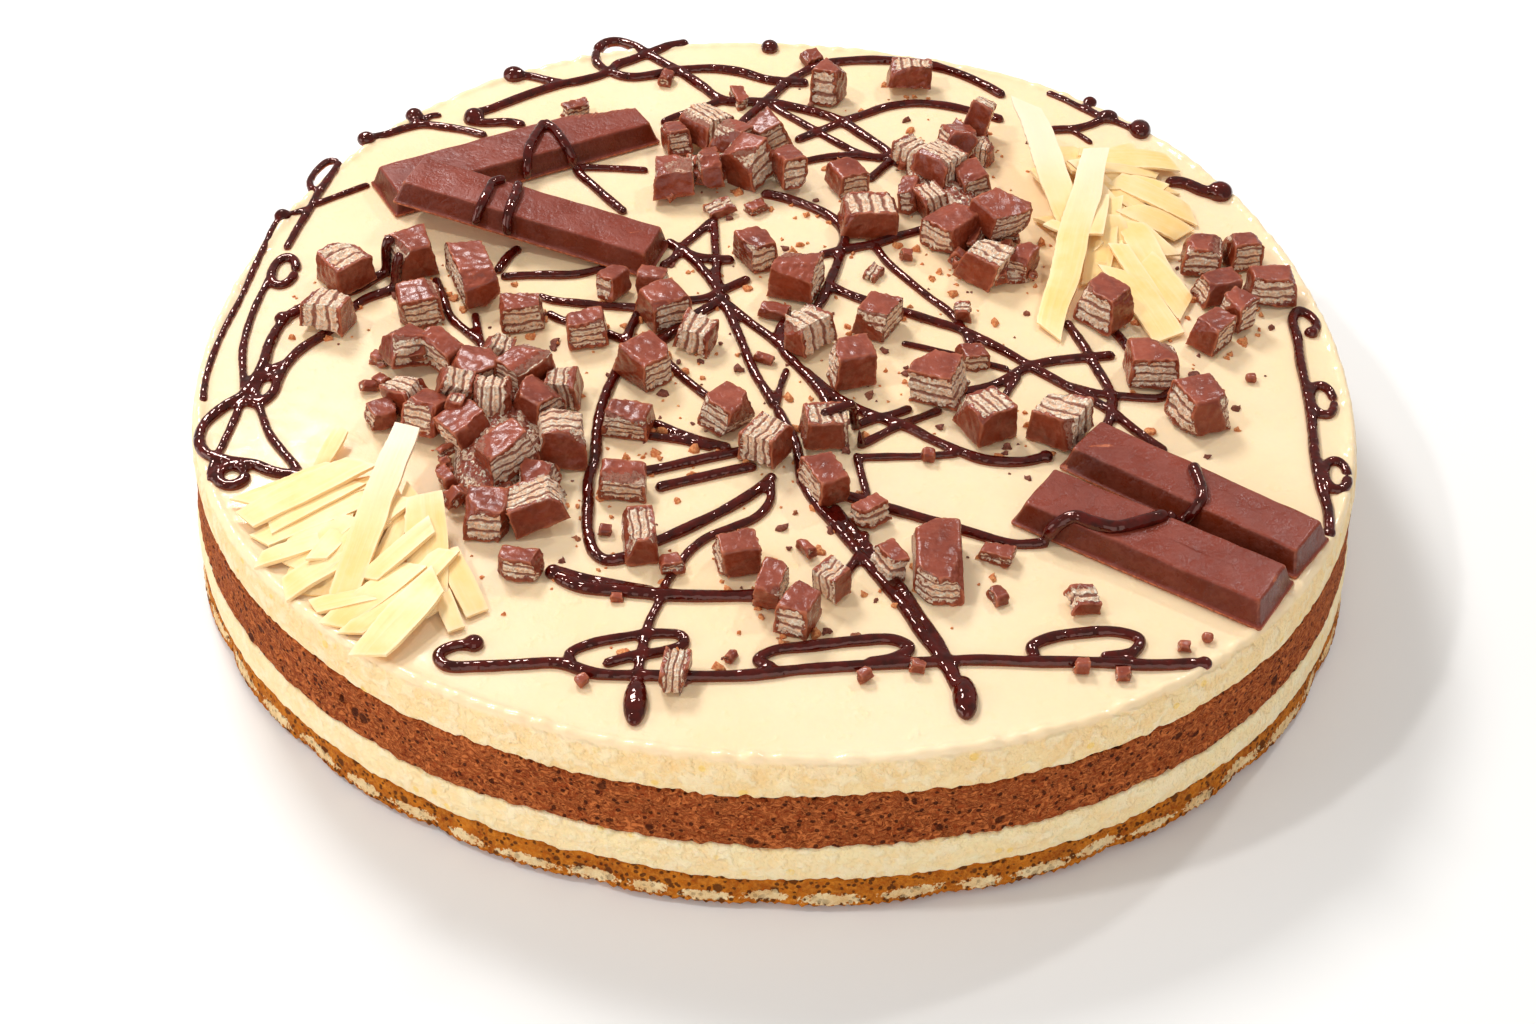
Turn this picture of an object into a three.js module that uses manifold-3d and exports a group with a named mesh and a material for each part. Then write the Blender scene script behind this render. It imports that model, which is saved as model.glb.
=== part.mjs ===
// A round semifreddo cake, 28 cm across: a biscuit base, a cream layer, a chocolate mousse layer
// and a glazed cream layer, with syrup drizzled over the top, chocolate-coated wafer fingers,
// broken wafer chunks and two heaps of white chocolate shards.
// Millimetres, +Z up. The origin is the middle of the underside, and -Y is the front.
import * as THREE from 'three';
import { mergeVertices } from 'three/addons/utils/BufferGeometryUtils.js';
import Module from 'manifold-3d';

const wasm = await Module();
wasm.setup();

// ---- driving dimensions ----------------------------------------------------------------------

const TOP_RADIUS = 140;
const FOOT_FLARE = 4; // the foot is this much wider than the top, all round
const BISCUIT_HEIGHT = 8.5;
const LOWER_CREAM_HEIGHT = 9;
const MOUSSE_HEIGHT = 14;
const TOP_CREAM_HEIGHT = 9.5;
const RIM_RISE = 0.9; // the glaze stands up a little along its edge
const RIM_WIDTH = 6;
const GAP = 0.3; // between neighbouring pieces

const LOWER_CREAM_FOOT = BISCUIT_HEIGHT;
const MOUSSE_FOOT = LOWER_CREAM_FOOT + LOWER_CREAM_HEIGHT;
const TOP_CREAM_FOOT = MOUSSE_FOOT + MOUSSE_HEIGHT;
const TOP = TOP_CREAM_FOOT + TOP_CREAM_HEIGHT;

// The cake was trimmed by hand: slow waves of its radius, as [waves a turn, mm, degrees].
const TRIM_WAVES = [[2, 1.45, -139], [3, 1.45, -100], [4, 1.55, 162], [5, 0.65, -115]];
// Each joint between two layers runs up and down a little, as [waves a turn, mm].
const JOINT_WAVES = [[5, 0.25], [13, 0.25], [21, 0.2]];
const SIDE_STEPS = 54;
const BISCUIT_LOBES = 24; // the base is trimmed from sponge fingers laid side by side
const BISCUIT_STEPS = 72;
const LOBE_DEPTH = 1.1;

// The toppings are laid out from this point of the top.
const LAYOUT_ZERO = [0.5, -0.9];

// Wafer fingers: a moulded bar with sloping sides and a thin lip round its foot.
const FINGER_HEIGHT = 6.2;
const FINGER_SLOPE = 1.9; // the top edge lies this far inside the foot
const LIP = { out: 0.5, height: 0.7 };
const FINGERS = {
  back: { at: [-70.5, 74], turn: 29.5, length: 76, width: 17 },
  crossing: { at: [-63.5, 40.5], turn: -17.5, length: 69, width: 15.5, foot: 7.4 },
  front: { at: [82.3, -75.8], turn: -32.8, length: 59, width: 17 },
  right: { at: [93.5, -59.2], turn: -36.5, length: 59, width: 15.2 },
};

// Syrup that runs over the fingers: the points are along and across the finger and above its foot.
const SYRUP_OVER_FINGERS = {
  back: [
    [2.9, [[10.8, 5.5, 6.8], [7.5, 2, 6.9], [3.8, -2, 6.9], [1, -5.6, 6.7], [-0.8, -8.7, 4],
      [-1.7, -9.6, 0.9]]],
    [2.9, [[10.4, 5.6, 6.8], [11.4, 1.5, 6.9], [11.4, -2.5, 6.9], [11.2, -5.6, 6.7],
      [11.8, -8.8, 4], [12.1, -9.6, 0.9]]],
  ],
  crossing: [
    [2.7, [[-10, 6.3, 6.6], [-12.2, 3.1, 6.9], [-11.7, -1, 6.9], [-11.3, -5.5, 6.6],
      [-11.6, -8, 3.6], [-11.8, -8.8, 1]]],
    [2.7, [[-6.5, 6.3, 6.6], [-5.2, 2, 6.9], [-4.6, -2, 6.9], [-4, -5.5, 6.6], [-3.5, -8, 3.6],
      [-2.6, -8.8, 1]]],
  ],
  front: [
    [3.2, [[-20.8, -9.6, 0.9], [-19.6, -8.6, 4], [-16.6, -5.8, 6.7], [-12.4, -5.4, 6.8],
      [-7.8, -4.2, 6.9], [-3.8, 0.6, 6.9], [0, 6.8, 6.5]]],
  ],
  right: [
    [2.9, [[1.9, -8.3, 1.2], [3.2, -7.3, 4], [3.9, -4.8, 6.7], [2.2, -1.5, 6.9], [-1, 2, 6.9],
      [-3.6, 4.8, 6.7]]],
  ],
};

// Broken chunks of wafer finger: where each stands, its turn in degrees, and its three sizes
// along that turn, across it and upwards.
const CHUNKS = [
  [[13, 109], -115, [8, 8, 11]],
  [[36, 117], -92, [10, 12.5, 6.8]],
  [[18, 65], -60, [9, 9, 6.8]],
  [[23, 46.5], -85, [10.5, 15, 8]],
  [[107.3, 32], -98, [9, 10, 7.8]],
  [[118, 35], -78, [9, 9, 7.8]],
  [[109.5, 19], -70, [8, 10, 6.5]],
  [[113, 8.5], -45, [8, 8, 8]],
  [[105.5, 0.5], -42, [8, 10, 7.4]],
  [[123, 19], -85, [8, 12, 7.4]],
  [[80.3, 8.9], -132, [10, 12, 9.2]],
  [[89, -14], -88, [10, 12, 8.2]],
  [[99, -30], -158, [12, 11.5, 9.2]],
  [[65.5, -35.5], -32, [12, 11.5, 9]],
  [[48.5, -34.5], -60, [11.5, 11, 9]],
  [[38, -21], -112, [11, 12, 9]],
  [[-6, 30.5], -65, [10, 8.5, 8]],
  [[4.5, 19], -20, [12, 11, 9]],
  [[7.5, -3.5], -40, [8.5, 12.5, 8]],
  [[17.5, -15.5], -162, [10.5, 10.5, 9]],
  [[25, 3.5], -28, [10, 11, 8]],
  [[-31, 17.6], -15, [8, 6, 6]],
  [[-28, 6], -58, [10.5, 10.5, 8.6]],
  [[-19.5, -4.5], -110, [8, 9, 6.4]],
  [[-46, -3], -82, [8, 10, 7]],
  [[-31, -17], -48, [11, 11, 8.6]],
  [[-34, -37], -102, [7.5, 11, 6.4]],
  [[-11.2, -34.4], -130, [10, 10, 8]],
  [[-2, -44.6], -122, [11, 9.5, 8]],
  [[12, -39], -80, [9, 12.5, 7.4]],
  [[11, -57], -150, [8, 11.5, 8]],
  [[-34, -58.5], -90, [7.5, 11, 6.6]],
  [[-29, -77], -82, [11.5, 7.5, 7]],
  [[-7.5, -82], -75, [8, 9.5, 8]],
  [[-0.6, -92], -106, [11, 6, 7.4]],
  [[5.8, -99], -116, [10, 7.5, 8]],
  [[12.6, -89.5], -130, [8, 7, 6.6]],
  [[35.5, -83.8], -90, [20, 11, 7]],
  [[-19.8, -117], -96, [9, 6, 5.6]],
  [[-54.5, -85.8], -97, [5.5, 10, 5.4]],
  [[-108, 19], -142, [11, 12.5, 8]],
  [[-109, 1], -106, [9.5, 11.5, 8.2]],
  [[-92, 25], -152, [12, 11, 9]],
  [[-87.5, 4.5], -76, [9.5, 11, 8.2]],
  [[-76, 18], -68, [22, 9.5, 9]],
  [[-62, 2.5], -86, [8, 10.5, 8]],
];
const CRAG = 0.5; // how far a broken corner may be out of true
const CHUNK_TAPER = 0.9; // the top of a chunk over its foot

const MOUND_SIDES = 8;

// Heaps of chunks: low mounds, [x, y, half length, half width, height, turn], and the chunks on
// them, each with a height above the cake at the end.
const CHUNK_HEAPS = {
  wafer_heap_left: {
    mounds: [[-62, -44, 27, 13, 8, 82]],
    chunks: [
      [[-88, -14], -152, [11, 9, 7.5], 0], [[-79, -14.5], -40, [11, 8, 8], 0],
      [[-71, -22], -64, [12, 11, 9], 0], [[-66.5, -12], -20, [7, 7, 5], 0],
      [[-59, -24], -48, [9, 12, 8], 3.5], [[-49.5, -26], -100, [9, 7, 8], 0],
      [[-86, -31], -30, [10, 8, 7], 0], [[-80, -38.5], -118, [9, 9, 8], 0],
      [[-91, -36], -60, [7, 7, 5], 0], [[-70, -45], -140, [10.5, 11, 8], 1],
      [[-65, -37], -95, [10, 9, 8], 5], [[-55, -36], -28, [10, 10, 8], 2.5],
      [[-48.5, -46.5], -80, [12, 11, 9.5], 0], [[-61, -56], -66, [9, 14, 8], 3.5],
      [[-63, -71.5], -84, [9.5, 10, 8], 0], [[-52.5, -69.5], -76, [9, 13, 7.5], 0],
      [[-53, -60], -20, [8, 9, 7], 0], [[-74, -31], -75, [8, 8, 7], 3],
    ],
  },
  wafer_heap_right: {
    mounds: [[46, 56, 27, 8, 6, -62], [47, 82, 14, 6, 4, 55], [55, 29, 11, 6, 4, -20]],
    chunks: [
      [[35.5, 76], -58, [9, 8, 8], 0], [[47.5, 80], -78, [10, 9, 8], 0],
      [[54, 91], -102, [9, 7, 10], 0], [[42.5, 66], -40, [12, 10, 8], 3],
      [[34, 57], -100, [8, 5, 6.5], 0], [[39.5, 53.5], -60, [8, 7, 7], 0],
      [[44, 40], -136, [12, 12, 8.5], 0], [[52, 26.5], -132, [11, 11, 8.5], 0],
      [[56, 42], -48, [12, 12, 8], 4.5], [[61.5, 28], -110, [8, 6, 7], 0],
      [[50.5, 61], -70, [9, 8, 7], 2], [[54, 78.5], -20, [6, 5, 6], 0],
    ],
  },
  wafer_heap_back: {
    mounds: [[-13, 73, 13, 7, 5, 20]],
    chunks: [
      [[-20, 86], -50, [12, 11, 8.5], 0], [[-28, 81.5], -70, [8, 7, 7], 0],
      [[-28, 61.5], -82, [11, 11, 8], 0], [[-18.5, 65.5], -75, [11, 6, 8.5], 0],
      [[-9, 68], -122, [10, 11, 12], 0], [[-3.5, 84], -60, [10, 9, 9], 0],
      [[2.2, 67], -76, [10.5, 7.5, 8.5], 0], [[-13, 77], -30, [9, 8, 8], 3],
    ],
  },
};

// Heaps of white chocolate shards: low mounds and broad curled shavings that lean on them,
// each from its foot [x, y, z] to its tip, z above the cake, with its width and curl.
const SHARD_THICKNESS = 1.5;
const SHARD_HEAPS = {
  white_shards_left: {
    mounds: [[-90, -82, 19, 12, 5, 35], [-101, -69.5, 14, 9, 4.5, 30], [-78, -99, 11, 5, 3.5, 60]],
    shards: [
      [[-91.5, -98.5, 1.2], [-82.5, -51, 12], 7, 2], [[-87, -98, 0.9], [-79.5, -66, 6.5], 4, 1],
      [[-116, -72.5, 2.1], [-92, -58, 7], 8, 1.5], [[-112, -78, 1], [-88, -66, 5], 7, 1.5],
      [[-118, -66.5, 2], [-98, -56, 4], 5, 1], [[-104, -93, 1], [-86, -80, 5], 7, 1.5],
      [[-104, -86, 1.2], [-92, -74, 5], 5, 1], [[-91.5, -104, 1], [-77, -88, 4.5], 7, 1],
      [[-83, -113.5, 2.3], [-71, -93, 5], 8.5, 1], [[-73, -93, 2.6], [-76.5, -69, 7.5], 9, 1.2],
      [[-62, -99, 0.9], [-70.5, -83, 4], 5.5, 1], [[-66, -104, 0.9], [-71, -92, 2.5], 4, 0.8],
      [[-93, -64, 2], [-83, -65, 5], 8, 1],
      [[-97, -98, 0.9], [-84, -96, 3], 5, 0.8], [[-111, -84, 0.9], [-98, -80, 3.5], 5, 1],
    ],
  },
  white_shards_right: {
    mounds: [[84, 49, 31, 14, 9, 84]],
    shards: [
      [[66.5, 2.5, 1.1], [83.5, 69, 11.5], 8, 2], [[75, 42, 5.5], [66, 88, 13.5], 8, 2],
      [[79.5, 23, 1.4], [86, 52, 7], 7, 1.5], [[97, 24, 1], [90, 44, 5.5], 8, 1.4],
      [[95.5, 1, 1], [86, 25, 4], 9, 1.2], [[101.5, 13, 0.9], [92.5, 30, 3.5], 8, 1],
      [[102, 68.5, 1.2], [84, 61, 6.5], 10, 1.8], [[106, 78.5, 1.6], [84, 74, 5], 9, 1.8],
      [[108.5, 54, 1.1], [88, 62, 6.5], 8, 1.6], [[105, 45, 1], [90, 50, 6], 9, 1.5],
      [[69, 77, 1.2], [75, 60, 4.5], 8, 1.2], [[70.5, 52, 1.2], [77, 41, 5], 8, 1.4],
      [[73.5, 33, 1], [82, 38, 5], 7, 1], [[97, 86, 1], [80, 70, 5], 6, 1.2],
      [[87, 33, 1], [84, 45, 7], 8, 1.2], [[78, 86, 1], [80, 66, 6], 7, 1.4],
    ],
  },
};

// Syrup on the cream: a width in mm and the points that each strand runs through.
const SYRUP = [
  [3.2, [[-27, 139], [-33, 136.5], [-38, 132.5], [-43, 128.5], [-47.5, 125], [-48, 121.5], [-43, 119],
    [-36, 120.5], [-28, 123.5], [-20, 124.5], [-12, 123], [-4, 119], [2, 118], [8, 117.5]]],
  [3.2, [[-53.5, 133], [-51.5, 137.5], [-48, 139], [-43, 136.5], [-38, 131.5], [-33, 126.5],
    [-28, 121.5], [-22, 114.5], [-16, 107.5], [-5, 107], [1, 105.5], [12, 101], [17, 97.5],
    [23, 90.5], [28, 84.5], [31, 79.5], [34, 74.5]]],
  [3, [[-53.5, 133], [-53, 127], [-50, 121.5], [-56, 117], [-62, 114.5], [-69, 110], [-76, 104.5],
    [-81, 100.5], [-85, 98], [-86, 95], [-82, 93.5], [-75, 94], [-70, 92.5]]],
  [2.6, [[-112.5, 84.5], [-108, 86.5], [-103, 90], [-98, 92], [-92, 91], [-86, 89.5], [-80, 87]]],
  [3, [[-99, 91.5], [-101, 94], [-101.3, 97]]],
  [2.8, [[-75.5, 119], [-71, 118.5], [-65, 116], [-61, 115]]],
  [2.4, [[-118, 73], [-119.5, 66], [-121.5, 57], [-122.5, 50], [-124, 42], [-125.5, 32]]],
  [3, [[-96, 25], [-101, 20.5], [-105, 15.5], [-111, 12.5], [-116, 8], [-120, 3.5], [-121.5, -1],
    [-122.5, -8], [-122.5, -15], [-123.5, -21], [-125, -27], [-129, -32], [-132, -38],
    [-132, -44], [-129.5, -48.5], [-125, -50.5], [-118, -52], [-113, -54.5]]],
  [2.8, [[-93, 18.5], [-97, 15], [-103, 10.5], [-110, -3], [-114.5, -9], [-117, -15], [-118, -21],
    [-118.5, -26.5], [-121, -30], [-125, -29]]],
  [2.4, [[-116.5, -14], [-121, -18], [-123, -23], [-122, -28], [-119.5, -34], [-116.5, -41],
    [-112.5, -47], [-109.5, -51]]],
  [2.6, [[-33, 95], [-28, 99.5], [-22, 103.5], [-16.5, 107.5]]],
  [3.2, [[63, 112.5], [56, 120], [48, 126], [38, 130], [27, 131], [18, 130], [11, 127.5], [5, 122],
    [1, 116.5], [-3, 109.5], [-7, 102.5], [-10, 97], [-12.5, 91.5]]],
  [2.6, [[-4, 107], [0, 102.5], [5, 97.5], [10, 92.5], [16, 86.5], [22, 81.5], [28, 79]]],
  [2.8, [[4, 87.5], [10, 92], [17, 97.5], [23, 101.5], [30, 106], [38, 108], [46, 107], [54, 104],
    [62, 100]]],
  [2.6, [[5, 76.5], [11, 79], [18, 80.5], [25, 80], [30, 79.5], [27, 74], [23.5, 68.5]]],
  [2.4, [[-55, 72.5], [-50, 72.3], [-42, 72], [-35, 71.5]]],
  [2.8, [[-55, 72.5], [-53, 68.5], [-50, 64.5], [-45, 57.5], [-40, 51]]],
  [2.8, [[-29, 39], [-24.5, 34.5], [-20, 28], [-16, 20], [-14, 14], [-12, 8.5], [-10, 2], [-8, -5],
    [-6.5, -11], [-4.5, -17], [-2, -23], [0, -28]]],
  [2.6, [[-30, 27.5], [-27, 30.5], [-25, 36], [-21, 42.5], [-17, 49]]],
  [2.6, [[-17, 50], [-16.5, 42], [-16, 34], [-15.5, 26], [-14.5, 18]]],
  [3, [[-25, 36], [-22, 32.5], [-16, 31], [-11, 31]]],
  [3, [[-5, 61.5], [0, 60], [6, 57], [11, 53.5], [15, 49], [17, 42], [16, 36], [15, 30], [13.5, 24],
    [12, 18], [9.5, 11], [6, 5], [3, 0], [1.5, -5]]],
  [2.8, [[5, 7.5], [1.5, 4.5], [0.5, -1], [2, -7], [5, -12], [8, -17], [11, -23], [13, -29]]],
  [2.8, [[-14, 14], [-10, 9], [-6, 4], [-2, -0.5], [1.5, -5]]],
  [2.8, [[6, -13], [10, -18.5], [14, -23.5], [19, -28], [25, -31.5], [31, -34.5], [36, -38.5],
    [42, -42.5], [48, -45.5], [56, -46], [62, -44]]],
  [2.8, [[38, 46.5], [31, 43], [25, 39.5], [17, 36.5], [10, 33.5]]],
  [2.4, [[24.5, 39], [28, 31], [33, 23.5], [38, 16.5], [42, 11.5], [45, 5.5], [46.5, 0], [47, -4]]],
  [2.8, [[12.5, 21], [18, 17], [25, 13], [32, 10], [39, 6.5], [45, 3.5], [50, -0.5], [56, -5.5],
    [61, -10.5], [67, -16], [73, -21.5], [79, -27.5], [84, -34.5], [90, -42]]],
  [2.8, [[44, -21], [50, -19], [55, -15.5], [60, -11], [66, -8.5], [73, -7], [82, -5.5]]],
  [2.8, [[71, 8], [73, 2.5], [75, -3.5], [76.5, -9.5], [78.5, -16.5], [79.5, -22.5], [78.5, -28.5],
    [76.5, -34]]],
  [2.4, [[68, -17], [75, -20], [84, -21.5], [91, -21.5], [94, -18.5]]],
  [2.4, [[82, 5.5], [84.5, 0], [86, -5]]],
  [2.6, [[10, -39.5], [16, -36], [22, -32], [27, -30], [32, -27]]],
  [2.4, [[19, -41.5], [24, -37.5], [29, -33.5], [34, -30.5], [39, -27.5]]],
  [2.4, [[18.5, -44], [19.5, -51], [20.5, -58], [20, -64]]],
  [2.8, [[0, -28], [2.5, -34.5], [4.5, -40.5], [5.5, -47], [6, -53], [9, -61], [14, -69.5],
    [19, -78.5], [24, -87.5], [28, -94.5], [31, -101.5], [34.5, -108.5], [37, -115], [39.5, -122.5]]],
  [2.6, [[13, -62], [16, -68], [20, -74.5], [24, -81.5], [28, -89.5], [31.5, -97.5], [35, -105],
    [37.5, -113], [39.5, -122.5]]],
  [2.8, [[14, -58], [20, -60.5], [26, -63], [32, -65.5], [38, -68], [45, -71], [52, -73.7],
    [58, -73.7]]],
  [2.6, [[20, -70.5], [19.5, -75.5], [17.5, -80.5], [14.5, -86]]],
  [2.8, [[0, -52], [-4, -57.5], [-9, -62.5], [-15, -67.5], [-21, -72], [-27, -76]]],
  [2.4, [[-1, -54], [-1, -61], [-4, -66.5], [-9, -70], [-14, -73], [-18, -77.5], [-20.5, -82.5],
    [-23, -88.5], [-24, -93.5], [-26, -100.5], [-27, -108.5], [-27.5, -117], [-27.5, -126]]],
  [2.8, [[-4, -49], [-10, -51], [-18, -54], [-27, -57.5]]],
  [2.8, [[-6, -43.5], [-12, -45.5], [-19, -48], [-27, -51], [-34, -53]]],
  [2.4, [[-29, -34], [-23, -37.5], [-17, -40.5], [-10, -43]]],
  [2.4, [[-30, -39], [-22, -40.5], [-14, -43]]],
  [2.6, [[-31, -4], [-27, -10.5], [-22, -17.5], [-17, -23.5], [-12, -29]]],
  [3.2, [[-12, 15.5], [-17, 10.5], [-22, 5], [-27, -1.5], [-31, -5.5], [-36, -5]]],
  [2.8, [[-7, 23.5], [-13, 18.5], [-18, 14.5], [-24, 13]]],
  [2.6, [[-60, 14.5], [-56, 12.5], [-50, 11.5], [-42, 10.5], [-34, 10]]],
  [2.6, [[-70, 22], [-60, 23], [-51, 23.5], [-45, 26], [-40, 28]]],
  [2.8, [[-66, 35], [-68.5, 31], [-71, 23.5]]],
  [2.6, [[-57, 7.5], [-53, 4.5], [-46, 1.5], [-39, -2], [-34, -5.5]]],
  [3, [[-34, 8.5], [-36, 0.5], [-36.5, -6.5], [-38, -14.5], [-40, -23.5], [-41, -31.5], [-41.3, -39.5],
    [-41, -47.5], [-42, -55.5], [-41.5, -63.5], [-41, -71.5], [-39, -79], [-36, -81.5], [-30, -79.5]]],
  [3.2, [[-2, -91.5], [-12, -92], [-22, -92], [-32, -91], [-41, -90], [-47, -86.5]]],
  [2.6, [[-86, 21], [-83, 12.5], [-80, 4.5], [-76, -0.5], [-72, -5], [-70, -9]]],
  [2.4, [[-74.5, 6.5], [-73, -0.5], [-71.5, -7], [-70.5, -14]]],
  [2.8, [[-62, -108], [-66, -108.3], [-69, -111], [-67, -114], [-60, -114], [-52, -113.3],
    [-44, -112.7], [-36, -115.5], [-26, -115.7], [-14, -115.7], [-4, -115], [6, -113.2],
    [16, -112], [28, -110.8], [42, -109.5], [54, -109.7], [66, -109.5], [78, -110], [89, -109.3]]],
  [2.6, [[-41, -113.5], [-42, -110], [-38, -107], [-31, -104.8], [-24, -103.5], [-19, -104],
    [-18.3, -106.3], [-23, -108.8], [-29, -110.3], [-35, -112.8]]],
  [2.8, [[1, -113.3], [-3, -110.8], [0, -108], [8, -106.4], [17, -104.7], [25, -104], [28.7, -106.3],
    [25.5, -109.3], [19, -111]]],
  [2.8, [[55, -108.5], [54, -105.5], [58, -102.7], [65, -101], [72, -100.4], [77, -102.5],
    [75, -106.5], [68, -108]]],
  [2.8, [[131, 4.5], [133, 8], [132, 12], [129.5, 14], [127.5, 10.5], [127.3, 2.5], [126.5, -7.5],
    [126.2, -16.5], [125.8, -25], [125, -33.5], [124, -42.5], [123.6, -52.5], [123.8, -60.5],
    [122.8, -68]]],
  [2.8, [[72, 95], [77, 95.7], [81, 96.2], [86, 98.7], [90, 102]]],
  [3.8, [[103, 70.5], [108, 70], [112.5, 66.5], [116.5, 65], [118.5, 67]]],
];
const STRAND_RISE = 0.62; // a strand's height over its width
const STRAND_SLACK = 1; // mm that a strand may cut a bend short
const OVER_SIDES = 4; // sides of a strand that runs over a finger

// Curls of syrup along the edge, [x, y, half width, half length, strand width, turn].
const SYRUP_CURLS = [
  [-124.3, 22.5, 2.9, 6, 2.8, 0], [129.3, -21.3, 2.7, 5.6, 2.6, -4], [127.7, -48.5, 2.6, 5.2, 2.6, -8],
  [-122.3, -56, 3, 3.4, 3, 20], [-120.3, -24.3, 2.2, 4.4, 2.4, 0],
];
const CURL_STEPS = 10;

// Drops where a strand starts or ends, [x, y, across, along].
const DROP_SIDES = 6;
const DROP_RISE = 0.4; // a drop's height over its width
const SYRUP_DROPS = [
  [-3.5, 136.8, 5.2, 5.6], [-75.8, 118.6, 6.4, 6], [-101.2, 96.3, 5, 5.4], [-112.6, 84, 5.2, 5],
  [-128.8, 46.5, 4.6, 4.6], [-84.6, 96, 6, 6], [99.3, 96, 6, 8], [91, 102.3, 6, 5],
  [86.8, 110.2, 4.2, 4], [117, 65.5, 7, 7], [39.4, -120.6, 5.4, 12], [-27.5, -123.5, 5.2, 13],
  [-62, -107.6, 4.6, 4.4], [-121, 2.5, 4.4, 4.4],
];

// Small flakes and chips that lie loose on the cream, [x, y, length, width, height, turn].
const FLAKES = [
  [8.5, 129.5, 6, 5, 3, 30], [-32.5, 117, 5, 4, 3, 80], [-11.5, 107.5, 9, 4, 3, -70],
  [-15.5, 52.6, 8, 5, 2.6, 25], [-6, 54, 6, 4, 2.4, 40], [-0.5, 8.3, 8, 5, 3, -20],
  [49, -78.2, 8.5, 5, 3, -25], [66, -92.8, 6.5, 6, 3.2, 10], [48, -91, 5, 3.4, 2.6, -60],
  [45.5, 8.7, 4.5, 4.5, 3.6, 0], [-95, -13.5, 5, 3.4, 2.6, -30], [-96, -24, 4, 3, 2.4, 20],
  [-22, -83.4, 5.6, 4.6, 3, 10], [7.2, -77.5, 5.5, 2.6, 2.4, -60], [64, -111.7, 3.4, 3, 3, 0],
  [47, -9.5, 7, 7, 5, -70], [21, -66.5, 6, 8, 5, -50], [25, -83, 8, 5, 6, -62],
  [-41, 16, 6, 8.5, 6, -30], [-3, -10.3, 5, 2.6, 2, -20], [24, 26, 6, 4, 2, 60],
  [-56.5, 99, 8, 4, 4, 30],
];

// ---- helpers ---------------------------------------------------------------------------------

const radians = THREE.MathUtils.degToRad;

// A random number from 0 to 1 that is the same in each run (mulberry32).
function randomFrom(seed) {
  let state = seed;
  return () => {
    state = (state + 0x6d2b79f5) | 0;
    let mixed = Math.imul(state ^ (state >>> 15), 1 | state);
    mixed = (mixed + Math.imul(mixed ^ (mixed >>> 7), 61 | mixed)) ^ mixed;
    return ((mixed ^ (mixed >>> 14)) >>> 0) / 4294967296;
  };
}

// One vertex for each corner, with only its position.
function welded(geometry) {
  const bare = geometry.clone();
  bare.deleteAttribute('normal');
  bare.deleteAttribute('uv');
  return mergeVertices(bare, 1e-4);
}

// Moves each vertex by a rule that changes a Vector3 in place.
function reshaped(geometry, rule) {
  const result = welded(geometry);
  const positions = result.getAttribute('position');
  const point = new THREE.Vector3();
  for (let i = 0; i < positions.count; i += 1) {
    point.fromBufferAttribute(positions, i);
    rule(point);
    positions.setXYZ(i, point.x, point.y, point.z);
  }
  return result;
}

function solid(geometry) {
  const mesh = welded(geometry);
  const corners = mesh.index.array;
  const triangles = [];
  for (let i = 0; i < corners.length; i += 3) {
    const [a, b, c] = [corners[i], corners[i + 1], corners[i + 2]];
    if (a !== b && b !== c && c !== a) triangles.push(a, b, c);
  }
  return new wasm.Manifold(new wasm.Mesh({
    numProp: 3,
    vertProperties: new Float32Array(mesh.getAttribute('position').array),
    triVerts: new Uint32Array(triangles),
  }));
}

function joined(solids) {
  return solids.reduce((whole, piece) => whole.add(piece));
}

function geometryOf(body) {
  const { vertProperties, triVerts } = body.getMesh();
  const geometry = new THREE.BufferGeometry();
  geometry.setAttribute('position', new THREE.BufferAttribute(new Float32Array(vertProperties), 3));
  geometry.setIndex(new THREE.BufferAttribute(new Uint32Array(triVerts), 1));
  geometry.computeVertexNormals();
  return geometry;
}

// The largest body of a solid: what a cut leaves loose is dropped.
function mainBody(body) {
  const bodies = body.decompose();
  return bodies.reduce((largest, next) => (next.volume() > largest.volume() ? next : largest));
}

function placement([x, y, z], turn, lean = 0) {
  return new THREE.Matrix4()
    .makeTranslation(x + LAYOUT_ZERO[0], y + LAYOUT_ZERO[1], z)
    .multiply(new THREE.Matrix4().makeRotationZ(radians(turn)))
    .multiply(new THREE.Matrix4().makeRotationY(radians(lean)));
}

// ---- the layers ------------------------------------------------------------------------------

function trim(angle) {
  return TRIM_WAVES.reduce((sum, [waves, size, start]) =>
    sum + size * Math.cos(waves * angle - radians(start)), 0);
}

function jointWave(angle, joint) {
  return JOINT_WAVES.reduce((sum, [waves, size]) =>
    sum + size * Math.sin(waves * angle + joint * waves), 0);
}

// The shallow valleys where two sponge fingers of the base meet.
function lobeValley(angle) {
  return -LOBE_DEPTH * (1 - Math.abs(Math.sin((BISCUIT_LOBES * angle) / 2))) ** 2;
}

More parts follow.
